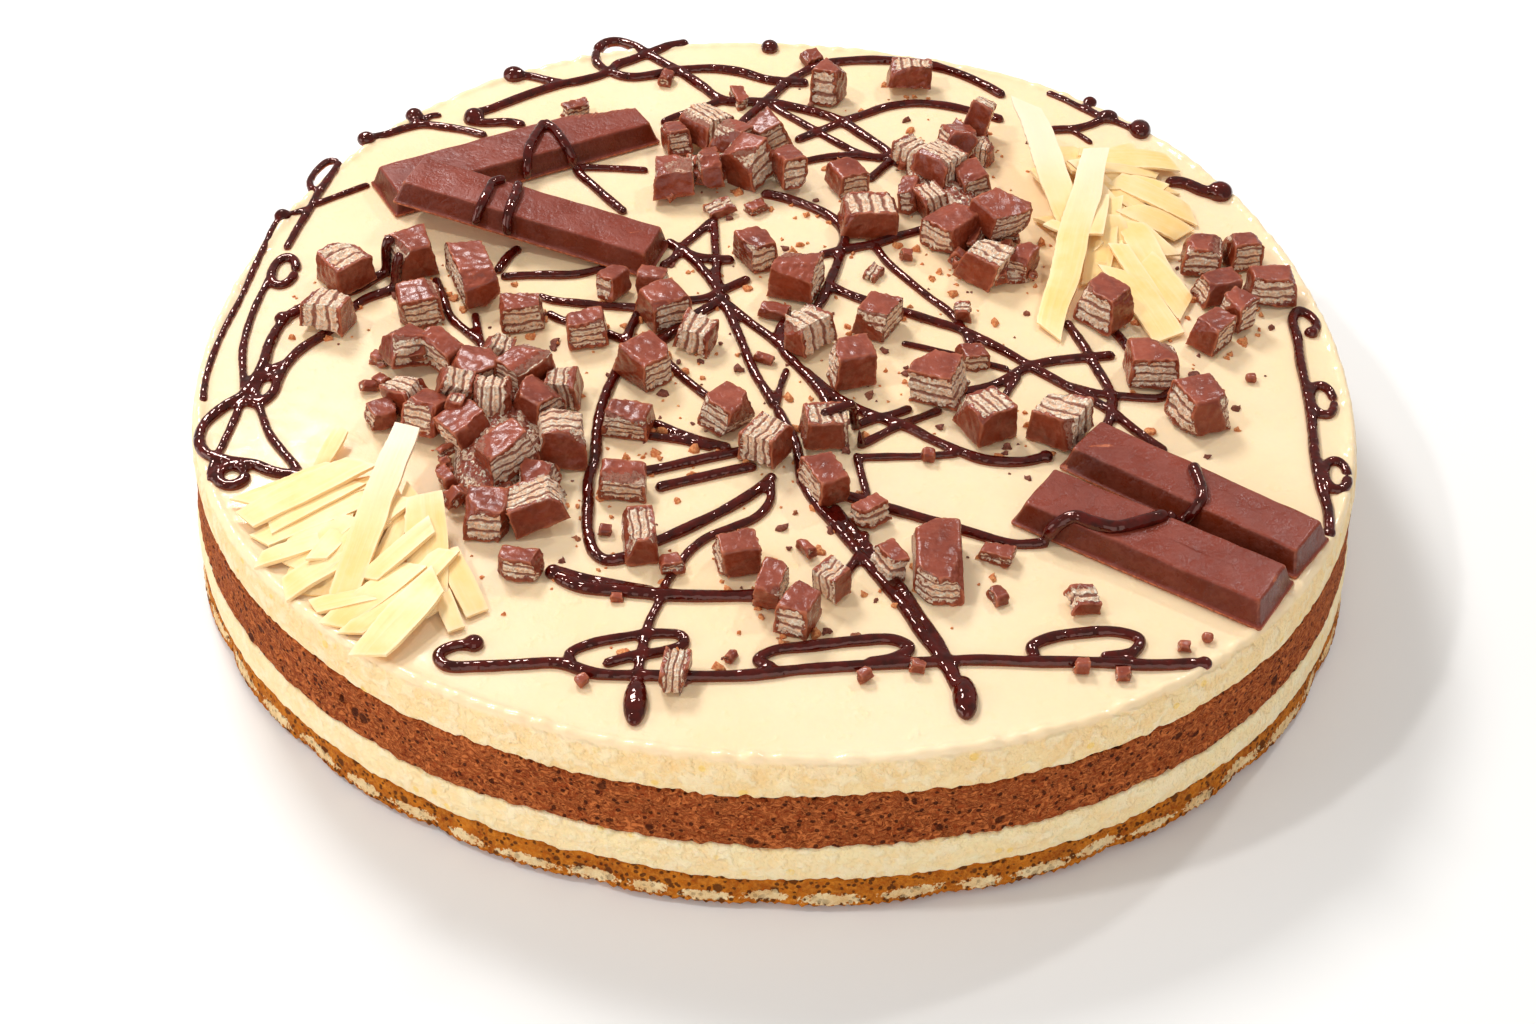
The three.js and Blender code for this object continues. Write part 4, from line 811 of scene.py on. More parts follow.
# %% Where the syrup runs
SYRUP = [
    [3.2, -27, 139, -33, 136.5, -38, 132.5, -43, 128.5, -47.5, 125, -48, 121.5, -43, 119, -36,
     120.5, -28, 123.5, -20, 124.5, -12, 123, -4, 119, 2, 118, 8, 117.5],
    [3.2, -53.5, 133, -51.5, 137.5, -48, 139, -43, 136.5, -38, 131.5, -33, 126.5, -28, 121.5,
     -22, 114.5, -16, 107.5, -5, 107, 1, 105.5, 12, 101, 17, 97.5, 23, 90.5, 28, 84.5, 31, 79.5,
     34, 74.5],
    [3, -53.5, 133, -53, 127, -50, 121.5, -56, 117, -62, 114.5, -69, 110, -76, 104.5, -81, 100.5,
     -85, 98, -86, 95, -82, 93.5, -75, 94, -70, 92.5],
    [2.6, -112.5, 84.5, -108, 86.5, -103, 90, -98, 92, -92, 91, -86, 89.5, -80, 87],
    [3, -99, 91.5, -101, 94, -101.3, 97], [2.8, -75.5, 119, -71, 118.5, -65, 116, -61, 115],
    [2.4, -118, 73, -119.5, 66, -121.5, 57, -122.5, 50, -124, 42, -125.5, 32],
    [3, -96, 25, -101, 20.5, -105, 15.5, -111, 12.5, -116, 8, -120, 3.5, -121.5, -1, -122.5, -8,
     -122.5, -15, -123.5, -21, -125, -27, -129, -32, -132, -38, -132, -44, -129.5, -48.5, -125,
     -50.5, -118, -52, -113, -54.5, -107, -55.5, -101, -56],
    [2.8, -93, 18.5, -97, 15, -103, 10.5, -110, -3, -114.5, -9, -117, -15, -118, -21, -118.5,
     -26.5, -121, -30, -125, -29],
    [2.4, -116.5, -14, -121, -18, -123, -23, -122, -28, -119.5, -34, -116.5, -41, -112.5, -47,
     -109.5, -51, -107, -55],
    [2.6, -33, 95, -28, 99.5, -22, 103.5, -16.5, 107.5],
    [3.2, 63, 112.5, 56, 120, 48, 126, 38, 130, 27, 131, 18, 130, 11, 127.5, 5, 122, 1, 116.5,
     -3, 109.5, -7, 102.5, -10, 97, -12.5, 91.5],
    [2.6, -4, 107, 0, 102.5, 5, 97.5, 10, 92.5, 16, 86.5, 22, 81.5, 28, 79],
    [2.8, 4, 87.5, 10, 92, 17, 97.5, 23, 101.5, 30, 106, 38, 108, 46, 107, 54, 104, 62, 100],
    [2.6, 5, 76.5, 11, 79, 18, 80.5, 25, 80, 30, 79.5, 27, 74, 23.5, 68.5],
    [2.4, -55, 72.5, -50, 72.3, -42, 72, -35, 71.5],
    [2.8, -55, 72.5, -53, 68.5, -50, 64.5, -45, 57.5, -40, 51],
    [2.8, -29, 39, -24.5, 34.5, -20, 28, -16, 20, -14, 14, -12, 8.5, -10, 2, -8, -5, -6.5, -11,
     -4.5, -17, -2, -23, 0, -28],
    [2.6, -30, 27.5, -27, 30.5, -25, 36, -21, 42.5, -17, 49],
    [2.6, -17, 50, -16.5, 42, -16, 34, -15.5, 26, -14.5, 18],
    [3, -25, 36, -22, 32.5, -16, 31, -11, 31],
    [3, -5, 61.5, 0, 60, 6, 57, 11, 53.5, 15, 49, 17, 42, 16, 36, 15, 30, 13.5, 24, 12, 18, 9.5,
     11, 6, 5, 3, 0, 1.5, -5],
    [2.8, 5, 7.5, 1.5, 4.5, 0.5, -1, 2, -7, 5, -12, 8, -17, 11, -23, 13, -29],
    [2.8, -14, 14, -10, 9, -6, 4, -2, -0.5, 1.5, -5],
    [2.8, 6, -13, 10, -18.5, 14, -23.5, 19, -28, 25, -31.5, 31, -34.5, 36, -38.5, 42, -42.5, 48,
     -45.5, 56, -46, 62, -44],
    [2.8, 38, 46.5, 31, 43, 25, 39.5, 17, 36.5, 10, 33.5],
    [2.4, 24.5, 39, 28, 31, 33, 23.5, 38, 16.5, 42, 11.5, 45, 5.5, 46.5, 0, 47, -4],
    [2.8, 12.5, 21, 18, 17, 25, 13, 32, 10, 39, 6.5, 45, 3.5, 50, -0.5, 56, -5.5, 61, -10.5, 67,
     -16, 73, -21.5, 79, -27.5, 84, -34.5, 90, -42],
    [2.8, 44, -21, 50, -19, 55, -15.5, 60, -11, 66, -8.5, 73, -7, 82, -5.5],
    [2.8, 71, 8, 73, 2.5, 75, -3.5, 76.5, -9.5, 78.5, -16.5, 79.5, -22.5, 78.5, -28.5, 76.5, -34],
    [2.4, 68, -17, 75, -20, 84, -21.5, 91, -21.5, 94, -18.5], [2.4, 82, 5.5, 84.5, 0, 86, -5],
    [2.6, 10, -39.5, 16, -36, 22, -32, 27, -30, 32, -27],
    [2.4, 19, -41.5, 24, -37.5, 29, -33.5, 34, -30.5, 39, -27.5],
    [2.4, 18.5, -44, 19.5, -51, 20.5, -58, 20, -64],
    [2.8, 0, -28, 2.5, -34.5, 4.5, -40.5, 5.5, -47, 6, -53, 9, -61, 14, -69.5, 19, -78.5, 24,
     -87.5, 28, -94.5, 31, -101.5, 34.5, -108.5, 37, -115, 39.5, -122.5],
    [2.6, 13, -62, 16, -68, 20, -74.5, 24, -81.5, 28, -89.5, 31.5, -97.5, 35, -105, 37.5, -113,
     39.5, -122.5],
    [2.8, 14, -58, 20, -60.5, 26, -63, 32, -65.5, 38, -68, 45, -71, 52, -73.7, 57, -73.6, 60.5,
     -72.9],
    [2.6, 20, -70.5, 19.5, -75.5, 17.5, -80.5, 14.5, -86],
    [2.8, 0, -52, -4, -57.5, -9, -62.5, -15, -67.5, -21, -72, -27, -76],
    [2.4, -1, -54, -1, -61, -4, -66.5, -9, -70, -14, -73, -18, -77.5, -20.5, -82.5, -23, -88.5,
     -24, -93.5, -26, -100.5, -27, -108.5, -27.5, -117, -27.5, -126],
    [2.8, -4, -49, -10, -51, -18, -54, -27, -57.5],
    [2.8, -6, -43.5, -12, -45.5, -19, -48, -27, -51, -34, -53],
    [2.4, -29, -34, -23, -37.5, -17, -40.5, -10, -43], [2.4, -30, -39, -22, -40.5, -14, -43],
    [2.6, -31, -4, -27, -10.5, -22, -17.5, -17, -23.5, -12, -29],
    [3.2, -12, 15.5, -17, 10.5, -22, 5, -27, -1.5, -31, -5.5, -36, -5],
    [2.8, -7, 23.5, -13, 18.5, -18, 14.5, -24, 13],
    [2.6, -60, 14.5, -56, 12.5, -50, 11.5, -42, 10.5, -34, 10],
    [2.6, -70, 22, -60, 23, -51, 23.5, -45, 26, -40, 28], [2.8, -66, 35, -68.5, 31, -71, 23.5],
    [2.6, -57, 7.5, -53, 4.5, -46, 1.5, -39, -2, -34, -5.5],
    [3, -34, 8.5, -36, 0.5, -36.5, -6.5, -38, -14.5, -40, -23.5, -41, -31.5, -41.3, -39.5, -41,
     -47.5, -42, -55.5, -41.5, -63.5, -41, -71.5, -39, -79, -36, -81.5, -30, -79.5],
    [3.2, -2, -91.5, -12, -92, -22, -92, -32, -91, -41, -90, -47, -86.5],
    [2.6, -86, 21, -83, 12.5, -80, 4.5, -76, -0.5, -72, -5, -70, -9],
    [2.4, -74.5, 6.5, -73, -0.5, -71.5, -7, -70.5, -14],
    [2.8, -62, -108, -66, -108.3, -69, -111, -67, -114, -60, -114, -52, -113.3, -44, -112.7, -36,
     -115.5, -26, -115.7, -14, -115.7, -4, -115, 6, -113.2, 16, -112, 28, -110.8, 42, -109.5, 54,
     -109.7, 66, -109.5, 78, -110, 89, -109.3],
    [2.6, -41, -113.5, -42, -110, -38, -107, -31, -104.8, -24, -103.5, -19, -104, -18.3, -106.3,
     -23, -108.8, -29, -110.3, -35, -112.8],
    [2.8, 1, -113.3, -3, -110.8, 0, -108, 8, -106.4, 17, -104.7, 25, -104, 28.7, -106.3, 25.5,
     -109.3, 19, -111],
    [2.8, 55, -108.5, 54, -105.5, 58, -102.7, 65, -101, 72, -100.4, 77, -102.5, 75, -106.5, 68,
     -108],
    [2.8, 131, 4.5, 133, 8, 132, 12, 129.5, 14, 127.5, 10.5, 127.3, 2.5, 126.5, -7.5, 126.2,
     -16.5, 125.8, -25, 125, -33.5, 124, -42.5, 123.6, -52.5, 123.8, -60.5, 122.8, -68],
    [2.8, 72, 95, 77, 95.7, 81, 96.2, 86, 98.7, 90, 102],
    [3.8, 103, 70.5, 108, 70, 112.5, 66.5, 116.5, 65, 118.5, 67],
    [2.2, -98, 94, -97, 96.5, -93.5, 97.5],
    [2.2, -118, 73, -121, 73.3, -123.5, 69, -124.5, 63, -123, 58.5],
    [2.2, -122, 52, -115, 57.5, -108.5, 62.5],
    [2, -122.5, 51, -126, 48.5, -129, 46.5, -130.3, 42, -131, 35, -132, 24, -133, 11, -134.5, -1,
     -135.3, -13, -135, -23, -134, -30],
    [2.2, -127.3, 20, -128.5, 10, -129, 0, -128.5, -10, -126.5, -20, -125, -27],
    [2.2, -125, -28, -125.5, -36, -126.5, -46, -127.3, -54, -126.5, -58],
    [2, 30, -2, 36, -4, 42, -6, 50, -9.5, 56, -12], [2.2, 58, -14, 55, -20, 52.5, -26],
    [2.2, 18, -45.5, 26, -45, 34, -44.5, 42, -43.5], [2.2, 2.5, -13, 1, -20, 0, -28],
    [2.2, -47, -84.5, -40, -87, -32, -89, -25, -90.5],
    [2.2, 75, 115.5, 80, 111.5, 85, 106.5, 89.5, 102.5, 93, 100.5, 96.5, 97.5, 98.5, 95],
    [2, 80, 96, 83, 92.5, 85.5, 89], [2.2, 86.8, 110.5, 85.5, 108, 89, 103.5],
]

SYRUP_CURLS = [
    [-124.3, 22.5, 2.9, 6, 2.8, 0], [129.3, -21.3, 2.7, 5.6, 2.6, -4],
    [127.7, -48.5, 2.6, 5.2, 2.6, -8], [-122.3, -56, 3, 3.4, 3, 20],
    [-120.3, -24.3, 2.2, 4.4, 2.4, 0],
]

SYRUP_DROPS = [
    [-3.5, 136.8, 5.2, 5.6], [-75.8, 118.6, 6.4, 6], [-101.2, 96.3, 5, 5.4], [-112.6, 84, 5.2, 5],
    [-128.8, 46.5, 4.6, 4.6], [-84.6, 96, 6, 6], [99.3, 96, 6, 8], [91, 102.3, 6, 5],
    [86.8, 110.2, 4.2, 4], [117, 65.5, 7, 7], [39.4, -120.6, 5.4, 12], [-27.5, -123.5, 5.2, 13],
    [-62, -107.6, 4.6, 4.4], [-121, 2.5, 4.4, 4.4], [89.6, -109.2, 3.6, 3.4], [131.2, 5, 3.6, 3.6],
    [122.8, -67.8, 3, 4], [-47.4, -85.6, 3.8, 4.2], [62, -44, 3.6, 3.6], [94, -19, 3.6, 4.6],
]

OVER_FINGERS = {
    "back": [
        [2.9, [[10.8, 5.5, 6.8], [7.5, 2, 6.9], [3.8, -2, 6.9], [1, -5.6, 6.7], [-0.8, -8.7, 4],
         [-1.7, -9.6, 0.9]]],
        [2.9, [[10.4, 5.6, 6.8], [11.4, 1.5, 6.9], [11.4, -2.5, 6.9], [11.2, -5.6, 6.7],
         [11.8, -8.8, 4], [12.1, -9.6, 0.9]]],
    ],
    "crossing": [
        [2.7, [[-10, 6.3, 6.6], [-12.2, 3.1, 6.9], [-11.7, -1, 6.9], [-11.3, -5.5, 6.6],
         [-11.6, -8, 3.6], [-11.8, -8.8, 1]]],
        [2.7, [[-6.5, 6.3, 6.6], [-5.2, 2, 6.9], [-4.6, -2, 6.9], [-4, -5.5, 6.6], [-3.5, -8, 3.6],
         [-2.6, -8.8, 1]]],
    ],
    "front": [
        [3.2, [[-20.8, -9.6, 0.9], [-19.6, -8.6, 4], [-16.6, -5.8, 6.7], [-12.4, -5.4, 6.8],
         [-7.8, -4.2, 6.9], [-3.8, 0.6, 6.9], [0, 6.8, 6.5]]],
    ],
    "right": [
        [2.9, [[1.9, -8.3, 1.2], [3.2, -7.3, 4], [3.9, -4.8, 6.7], [2.2, -1.5, 6.9], [-1, 2, 6.9],
         [-3.6, 4.8, 6.7]]],
    ],
}
SYRUP_OVER_CHUNKS = (13, 30, 43)

# %% [markdown]
# A Catmull-Rom curve goes through every one of its points, so a drizzle can be laid by listing
# where it passes. Where a run crosses a piece of wafer it climbs over it. Runs over the sticks of
# chocolate are listed in each stick's own directions, and a matrix puts them in place with the
# stick.


# %% Paths through points
PATH_STEP = 0.7


def smooth_path(points):
    """Points about every 0.7 mm along a centripetal Catmull-Rom curve."""
    points = np.asarray(points, float)
    points = np.concatenate([[2 * points[0] - points[1]], points, [2 * points[-1] - points[-2]]])
    path = []
    for p0, p1, p2, p3 in zip(points, points[1:], points[2:], points[3:]):
        gaps = [max(np.linalg.norm(b - a), 1e-6) ** 0.5 for a, b in ((p0, p1), (p1, p2), (p2, p3))]
        t0, t1 = 0.0, gaps[0]
        t2, t3 = t1 + gaps[1], t1 + gaps[1] + gaps[2]
        count = max(2, round(np.linalg.norm(p2 - p1) / PATH_STEP))
        t = np.linspace(t1, t2, count + 1)[:-1, None]
        a1 = (t1 - t) / (t1 - t0) * p0 + (t - t0) / (t1 - t0) * p1
        a2 = (t2 - t) / (t2 - t1) * p1 + (t - t1) / (t2 - t1) * p2
        a3 = (t3 - t) / (t3 - t2) * p2 + (t - t2) / (t3 - t2) * p3
        b1 = (t2 - t) / (t2 - t0) * a1 + (t - t0) / (t2 - t0) * a2
        b2 = (t3 - t) / (t3 - t1) * a2 + (t - t1) / (t3 - t1) * a3
        path.append((t2 - t) / (t2 - t1) * b1 + (t - t1) / (t2 - t1) * b2)
    return np.concatenate(path + [[points[-2]]])


def placement(at, turn, lean=0.0):
    """A matrix in millimetres: lean round the width, turn, then move to a place in the layout."""
    x, y = np.asarray(at[:2]) + LAYOUT_ZERO
    turned = Matrix.Rotation(math.radians(turn), 4, "Z")
    turned = turned @ Matrix.Rotation(math.radians(lean), 4, "Y")
    return np.array(Matrix.Translation((x, y, at[2])) @ turned)


def placed(points, matrix):
    """Points moved and turned by a matrix."""
    return np.asarray(points) @ matrix[:3, :3].T + matrix[:3, 3]


def stick_place(at, turn, length, foot=0, **others):
    """A stick lies flat, or with one end raised by its foot, so that it leans."""
    lean = math.degrees(math.asin(foot / length))
    return placement((*at, TOP + GAP + foot / 2), turn, lean)


def lifted(path):
    """A run raised where it crosses the chunks that carry syrup."""
    for number in SYRUP_OVER_CHUNKS:
        at, turn, (along, across, up) = CHUNKS[number - 1]
        away = path[:, :2] - LAYOUT_ZERO - at
        angle = math.radians(turn)
        forward = away @ [math.cos(angle), math.sin(angle)]
        sideways = away @ [-math.sin(angle), math.cos(angle)]
        outside = np.maximum(np.abs(forward) - along * 0.47, np.abs(sideways) - across * 0.47)
        path[:, 2] += (up + 0.1) * smooth_step(1.3, 0.2, outside)
    return path


CLIMB = 0.12  # how far a run's middle lies above the cream, as a share of its width
BRIDGE = [[86, -70.1, 6.8], [87.3, -69.4, 4.6], [88.6, -68.2, 2.6], [90, -67, 1.5]]
runs = [(2.6, smooth_path(np.array(BRIDGE) + [*LAYOUT_ZERO, TOP + GAP]))]
for width, *row in SYRUP:
    way = np.reshape(row, (-1, 2)) + LAYOUT_ZERO
    path = smooth_path(np.column_stack([way, np.full(len(way), TOP + CLIMB * width)]))
    runs.append((width, lifted(path)))
for name, strands in OVER_FINGERS.items():
    stick = stick_place(**FINGERS[name])
    runs += [(width, placed(smooth_path(points), stick)) for width, points in strands]
for x, y, half_width, half_length, width, turn in SYRUP_CURLS:
    round_angle = np.linspace(0, 2 * math.pi, 40)
    ring = np.stack([half_width * np.cos(round_angle), half_length * np.sin(round_angle),
                     0 * round_angle + CLIMB * width], 1)
    runs.append((width, placed(ring, placement((x, y, TOP), turn))))
print("syrup runs:", len(runs), "points:", sum(len(path) for _, path in runs))

# %% [markdown]
# The runs become one chain of edges with a half width at each point, narrowing to a round tip.
# The node tree turns the chain into curves, varies the width a little as a real drizzle does, and
# sweeps a circle along it. A voxel remesh then melts the crossings together, which no tube alone
# can do.

# %% A node tree for a drizzle
drizzle, given, out = new_tree("drizzle", {
    "Unevenness": ("Float", 0.2), "Beat": ("Float", 0.009), "Sides": ("Int", 12),
    "Seed": ("Float", 5.0), "Finish": ("Material", None),
})
curves = add(drizzle, "GeometryNodeMeshToCurve", {0: given["Geometry"]}).outputs[0]
half = add(drizzle, "GeometryNodeInputNamedAttribute", {"Name": "half width"}, data_type="FLOAT")
spot = add(drizzle, "GeometryNodeInputPosition").outputs[0]
beat = add(drizzle, "ShaderNodeTexNoise", {
    "Vector": spot, "W": given["Seed"], "Detail": 1.0,
    "Scale": maths(drizzle, "DIVIDE", 1.0, given["Beat"]),
}, noise_dimensions="4D").outputs["Fac"]
sway = times(drizzle, both_ways(drizzle, beat), given["Unevenness"])
sway = maths(drizzle, "ADD", times(drizzle, sway, 2.0), 1.0)
width = times(drizzle, half.outputs["Attribute"], sway)
thick = add(drizzle, "GeometryNodeSetCurveRadius", {"Curve": curves, "Radius": width})
section = add(drizzle, "GeometryNodeCurvePrimitiveCircle", {
    "Resolution": given["Sides"], "Radius": 1.0})
tube = add(drizzle, "GeometryNodeCurveToMesh", {
    "Curve": thick.outputs[0], "Profile Curve": section.outputs[0], "Fill Caps": True,
    "Scale": add(drizzle, "GeometryNodeInputRadius").outputs[0]})
end_tree(drizzle, tube.outputs[0], given["Finish"], out)

# %% Syrup: the finish
syrup_finish, tree, shader = new_finish(
    "chocolate syrup", roughness=0.06, Specular_IOR_Level=0.7,
    Specular_Tint=(1.0, 0.66, 0.58, 1.0))
thin = between(tree, height_of(tree), (TOP + 0.05) * MM, (TOP + 0.75) * MM, 1.0, 0.0)
streak = cloudy(tree, size=0.003, detail=2.0, contrast=1.2)
deep = mixed(tree, streak, paint(46, 3, 1), paint(84, 10, 4))
colour = mixed(tree, thin, deep, paint(126, 44, 16))
ripples = cloudy(tree, size=0.0024, detail=1.0, contrast=1.0)
coloured(tree, shader, colour, ripples, 0.0002)

# %% Syrup: the shape
points, edges, halves = [], [], []
for width, path in runs:
    first = sum(len(part) for part in points)
    lengths = np.append(0, np.cumsum(np.linalg.norm(np.diff(path, axis=0), axis=1)))
    from_end = np.minimum(lengths, lengths[-1] - lengths)
    tip = np.sqrt(np.clip(1 - np.clip(1 - from_end / (width / 2), 0, 1) ** 2, 0.04, 1))
    points.append(path)
    halves.append(width / 2 * MM * tip)
    edges += [(first + i, first + i + 1) for i in range(len(path) - 1)]
chain = bpy.data.meshes.new("syrup")
chain.from_pydata((np.concatenate(points) * MM).tolist(), edges, [])
syrup = in_scene("syrup", chain)
mark(syrup, "half width", np.concatenate(halves))
syrup = shaped(
    syrup, drizzle, Unevenness=0.22, Beat=0.008, Sides=10, Seed=5.0, Finish=syrup_finish)


def domed_drop(x, y, across, along):
    """A drop of syrup: a flattened ball with its lower third in the cream."""
    rings, sides, rise = 10, 20, 0.55
    down = np.linspace(0.0, math.pi, rings + 2)[1:-1, None]
    around = np.linspace(0, 2 * math.pi, sides + 1)[:-1][None, :]
    tall = rise * min(across, along)
    ball = np.stack([
        across / 2 * np.sin(down) * np.cos(around), along / 2 * np.sin(down) * np.sin(around),
        tall * 0.75 * np.cos(down) * np.ones_like(around) + tall * 0.25], -1).reshape(-1, 3)
    ball = np.concatenate([ball, [[0, 0, tall], [0, 0, -tall * 0.5]]])
    after = [*range(1, sides), 0]
    faces = [(low + j, low + sides + j, low + sides + after[j], low + after[j])
             for low in range(0, (rings - 1) * sides, sides) for j in range(sides)]
    top, foot, last = rings * sides, rings * sides + 1, (rings - 1) * sides
    faces += [(top, j, after[j]) for j in range(sides)]
    faces += [(foot, last + after[j], last + j) for j in range(sides)]
    return placed(ball, placement((x, y, TOP), 0)), faces


drops = []
for number, drop in enumerate(SYRUP_DROPS):
    points, faces = domed_drop(*drop)
    drops.append(mesh_object(f"drop {number}", points, faces))
syrup = joined("syrup", [syrup] + drops)


def melted(piece, voxel, rounds, most):
    """Voxel remesh, smooth and thin out a piece, each applied at once."""
    steps = [("REMESH", {"mode": "VOXEL", "voxel_size": voxel * MM, "use_smooth_shade": True}),
             ("SMOOTH", {"factor": 0.5, "iterations": rounds})]
    for kind, settings in steps:
        modifier = piece.modifiers.new(kind.lower(), kind)
        for label, value in settings.items():
            setattr(modifier, label, value)
    mesh = as_it_shows(piece)
    mesh.calc_loop_triangles()
    count = len(mesh.loop_triangles)
    piece.modifiers.clear()
    piece.data = mesh
    if count > most:
        piece.modifiers.new("thin out", "DECIMATE").ratio = most / count
        mesh = as_it_shows(piece)
        piece.modifiers.clear()
        piece.data = mesh
    shade_smooth(mesh)
    print(piece.name, "remeshed:", count, "triangles")


melted(syrup, voxel=0.5, rounds=3, most=190000)
syrup.data.name = "syrup"
finished(syrup, syrup_finish, "glazed_cream", "cream_layer_top")
print("syrup triangles:", triangles["syrup"])

# %% [markdown]
# # The sticks of chocolate
# Each stick is a coated wafer finger from a mould: flat top, sloping sides, softly rounded edges
# and a thin lip where it was broken from its neighbour. A cube with a bevel would give the same
# edge all round, so the bar is built from level rings, each a rectangle with its own size and
# corner.

# %% Stick: the finish
milk, tree, shader = new_finish(
    "milk chocolate", Specular_IOR_Level=0.3, Coat_Weight=0.1, Coat_Roughness=0.2)
cloud = cloudy(tree, size=0.016, detail=5.0, contrast=1.2)
dust = cloudy(tree, size=0.0011, detail=4.0, contrast=2.6)
scuff = cloudy(tree, size=0.006, detail=6.0, contrast=2.8)
rubbed_and_lit_edge = use(tree, worn_edge_highlight, From=0.505, To=0.56).outputs[0]
upper = use(tree, painted_top_light).outputs[0]
# Painted light: upper sides get a lighter brown as if lit, the flanks a darker brown as painted
# shade.
shaded_flank = mixed(tree, cloud, paint(86, 27, 9), paint(110, 39, 16))
colour = mixed(tree, upper, shaded_flank, mixed(tree, cloud, paint(120, 47, 31), paint(142, 61, 43)))
bloom = times(tree, times(tree, dust, scuff), 0.1)
colour = mixed(tree, bloom, colour, paint(168, 104, 86))
# Lighter sharp edges: partly wear where chocolate broke, partly a painted highlight along the edge.
chafed_and_lit_edge = times(tree, rubbed_and_lit_edge, between(tree, dust, 0.3, 0.8, 0.4, 0.9))
colour = mixed(tree, chafed_and_lit_edge, colour, paint(196, 108, 70))
tree.links.new(between(tree, scuff, 0.2, 0.9, 0.26, 0.4), shader.inputs["Roughness"])
relief = maths(tree, "ADD", scuff, times(tree, dust, 0.3))
coloured(tree, shader, colour, relief, 0.00012)


# %% Stick: the shape
def ring_of(half_length, half_width, corner, height, along, across, turns=5):
    """A level rectangle with round corners, as points that go round it once."""
    bends = []
    for start, side_x, side_y in ((0, 1, 1), (90, -1, 1), (180, -1, -1), (270, 1, -1)):
        a = np.radians(np.linspace(start, start + 90, turns + 1))
        middle_x, middle_y = side_x * (half_length - corner), side_y * (half_width - corner)
        bends.append(np.stack([middle_x + corner * np.cos(a), middle_y + corner * np.sin(a)], 1))
    ring = []
    for i, bend in enumerate(bends):
        goal = bends[(i + 1) % 4][0]
        shares = np.linspace(0, 1, (along if i % 2 == 0 else across) + 1)[1:-1, None]
        ring += [bend, bend[-1] + (goal - bend[-1]) * shares]
    ring = np.concatenate(ring)
    return np.column_stack([ring, np.full(len(ring), height)])


FINGER_HEIGHT, FINGER_SLOPE = 6.2, 1.9
LIP_OUT, LIP_HEIGHT = 0.5, 0.7


def stick_shape(length, width, seed):
    """The bar's points and faces, lying on z = 0 along x."""
    half_length, half_width = length / 2, width / 2
    levels = [(0.0, LIP_OUT - 0.2), (0.12, LIP_OUT), (LIP_HEIGHT - 0.12, LIP_OUT),
              (LIP_HEIGHT, LIP_OUT - 0.12), (LIP_HEIGHT + 0.12, 0.12), (LIP_HEIGHT + 0.4, -0.05)]
    round_top = 0.5
    straight = np.linspace(LIP_HEIGHT + 0.9, FINGER_HEIGHT - round_top, 8)
    levels += [(z, -FINGER_SLOPE * (z - LIP_HEIGHT) / (FINGER_HEIGHT - LIP_HEIGHT) * 0.85)
               for z in straight]
    last = levels[-1][1]
    for a in np.radians(np.linspace(12, 90, 6)):
        levels.append((FINGER_HEIGHT - round_top + round_top * math.sin(a),
                       last - 0.25 * math.sin(a) - round_top * (1 - math.cos(a))))
    sides = {"along": round(length / 0.9), "across": round(width / 0.9)}
    rings = [ring_of(half_length + out, half_width + out, 0.7, z, **sides) for z, out in levels]
    inner = levels[-1][1]
    for share in (0.25, 0.5, 0.75, 0.97):
        inset = inner - (half_width + inner) * share
        rings.append(ring_of(half_length + inset, half_width + inset, 0.7 * (1 - share) + 0.01,
                             FINGER_HEIGHT, **sides))
    count = len(rings[0])
    points = np.concatenate(rings)
    last_ring = range((len(rings) - 1) * count, len(rings) * count)
    faces = ring_faces(len(rings), count) + [list(range(count))[::-1], list(last_ring)]
    softness = smooth_step(0.3, 2.0, points[:, 2])
    uneven = [wobble(points, 9, seed + k) * softness for k in range(3)]
    points = points + 0.09 * np.stack(uneven, 1)
    top = smooth_step(FINGER_HEIGHT - 0.4, FINGER_HEIGHT, points[:, 2])
    points[:, 2] += 0.07 * top * wobble(points[:, :2], 15, seed + 5)
    return points, faces


def bitten(points, corner, direction, depth, seed):
    """A ragged chip out of a stick: points past a plane near the corner are drawn back to it."""
    direction = np.asarray(direction, float) / np.linalg.norm(direction)
    past = (points - corner) @ direction + depth
    past = np.maximum(past + 0.25 * wobble(points, 1.6, seed), 0) * (past > 0)
    return points - past[:, None] * direction


CHIPS = {  # where: shares of length and width, then millimetres; direction, depth and seed
    "back": ((0.5, 0.5), (-10, -4, 6.2), (0.25, 1, 0.9), 0.5, 3),
    "crossing": ((-0.5, -0.5), (0, 0, 5.6), (-1, -0.8, 0.4), 0.9, 6),
    "front": ((-0.5, -0.5), (0, 0, 5.6), (-1, -0.5, 0.5), 1.2, 4),
    "right": ((-0.5, 0.5), (0, 0, 5.8), (-1, 0.6, 0.6), 0.8, 5),
}
for number, (name, stick) in enumerate(FINGERS.items()):
    length, width = stick["length"], stick["width"]
    points, faces = stick_shape(length, width, 40 + number)
    shares, away, *bite = CHIPS[name]
    points = bitten(points, np.array([shares[0] * length, shares[1] * width, 0]) + away, *bite)
    piece = mesh_object(f"chocolate_stick_{name}", placed(points, stick_place(**stick)), faces)
    finished(piece, milk, "coated_wafer", f"wafer_finger_{name}")
print("sticks:", [name for name in triangles if name.startswith("chocolate_stick")])

# %% [markdown]
# # The chunks of coated wafer
# The same sticks, chopped. A chunk has smooth chocolate on the moulded sides and a torn face
# where the knife went through: tan wafer sheets with air between them, inside a wall of chocolate
# that stands a little proud. A chunk is a fine grid on a box, so that each point can be moved by
# a rule: coated edges are rounded, torn faces are pushed in between the sheets, and random flats
# are cut off.

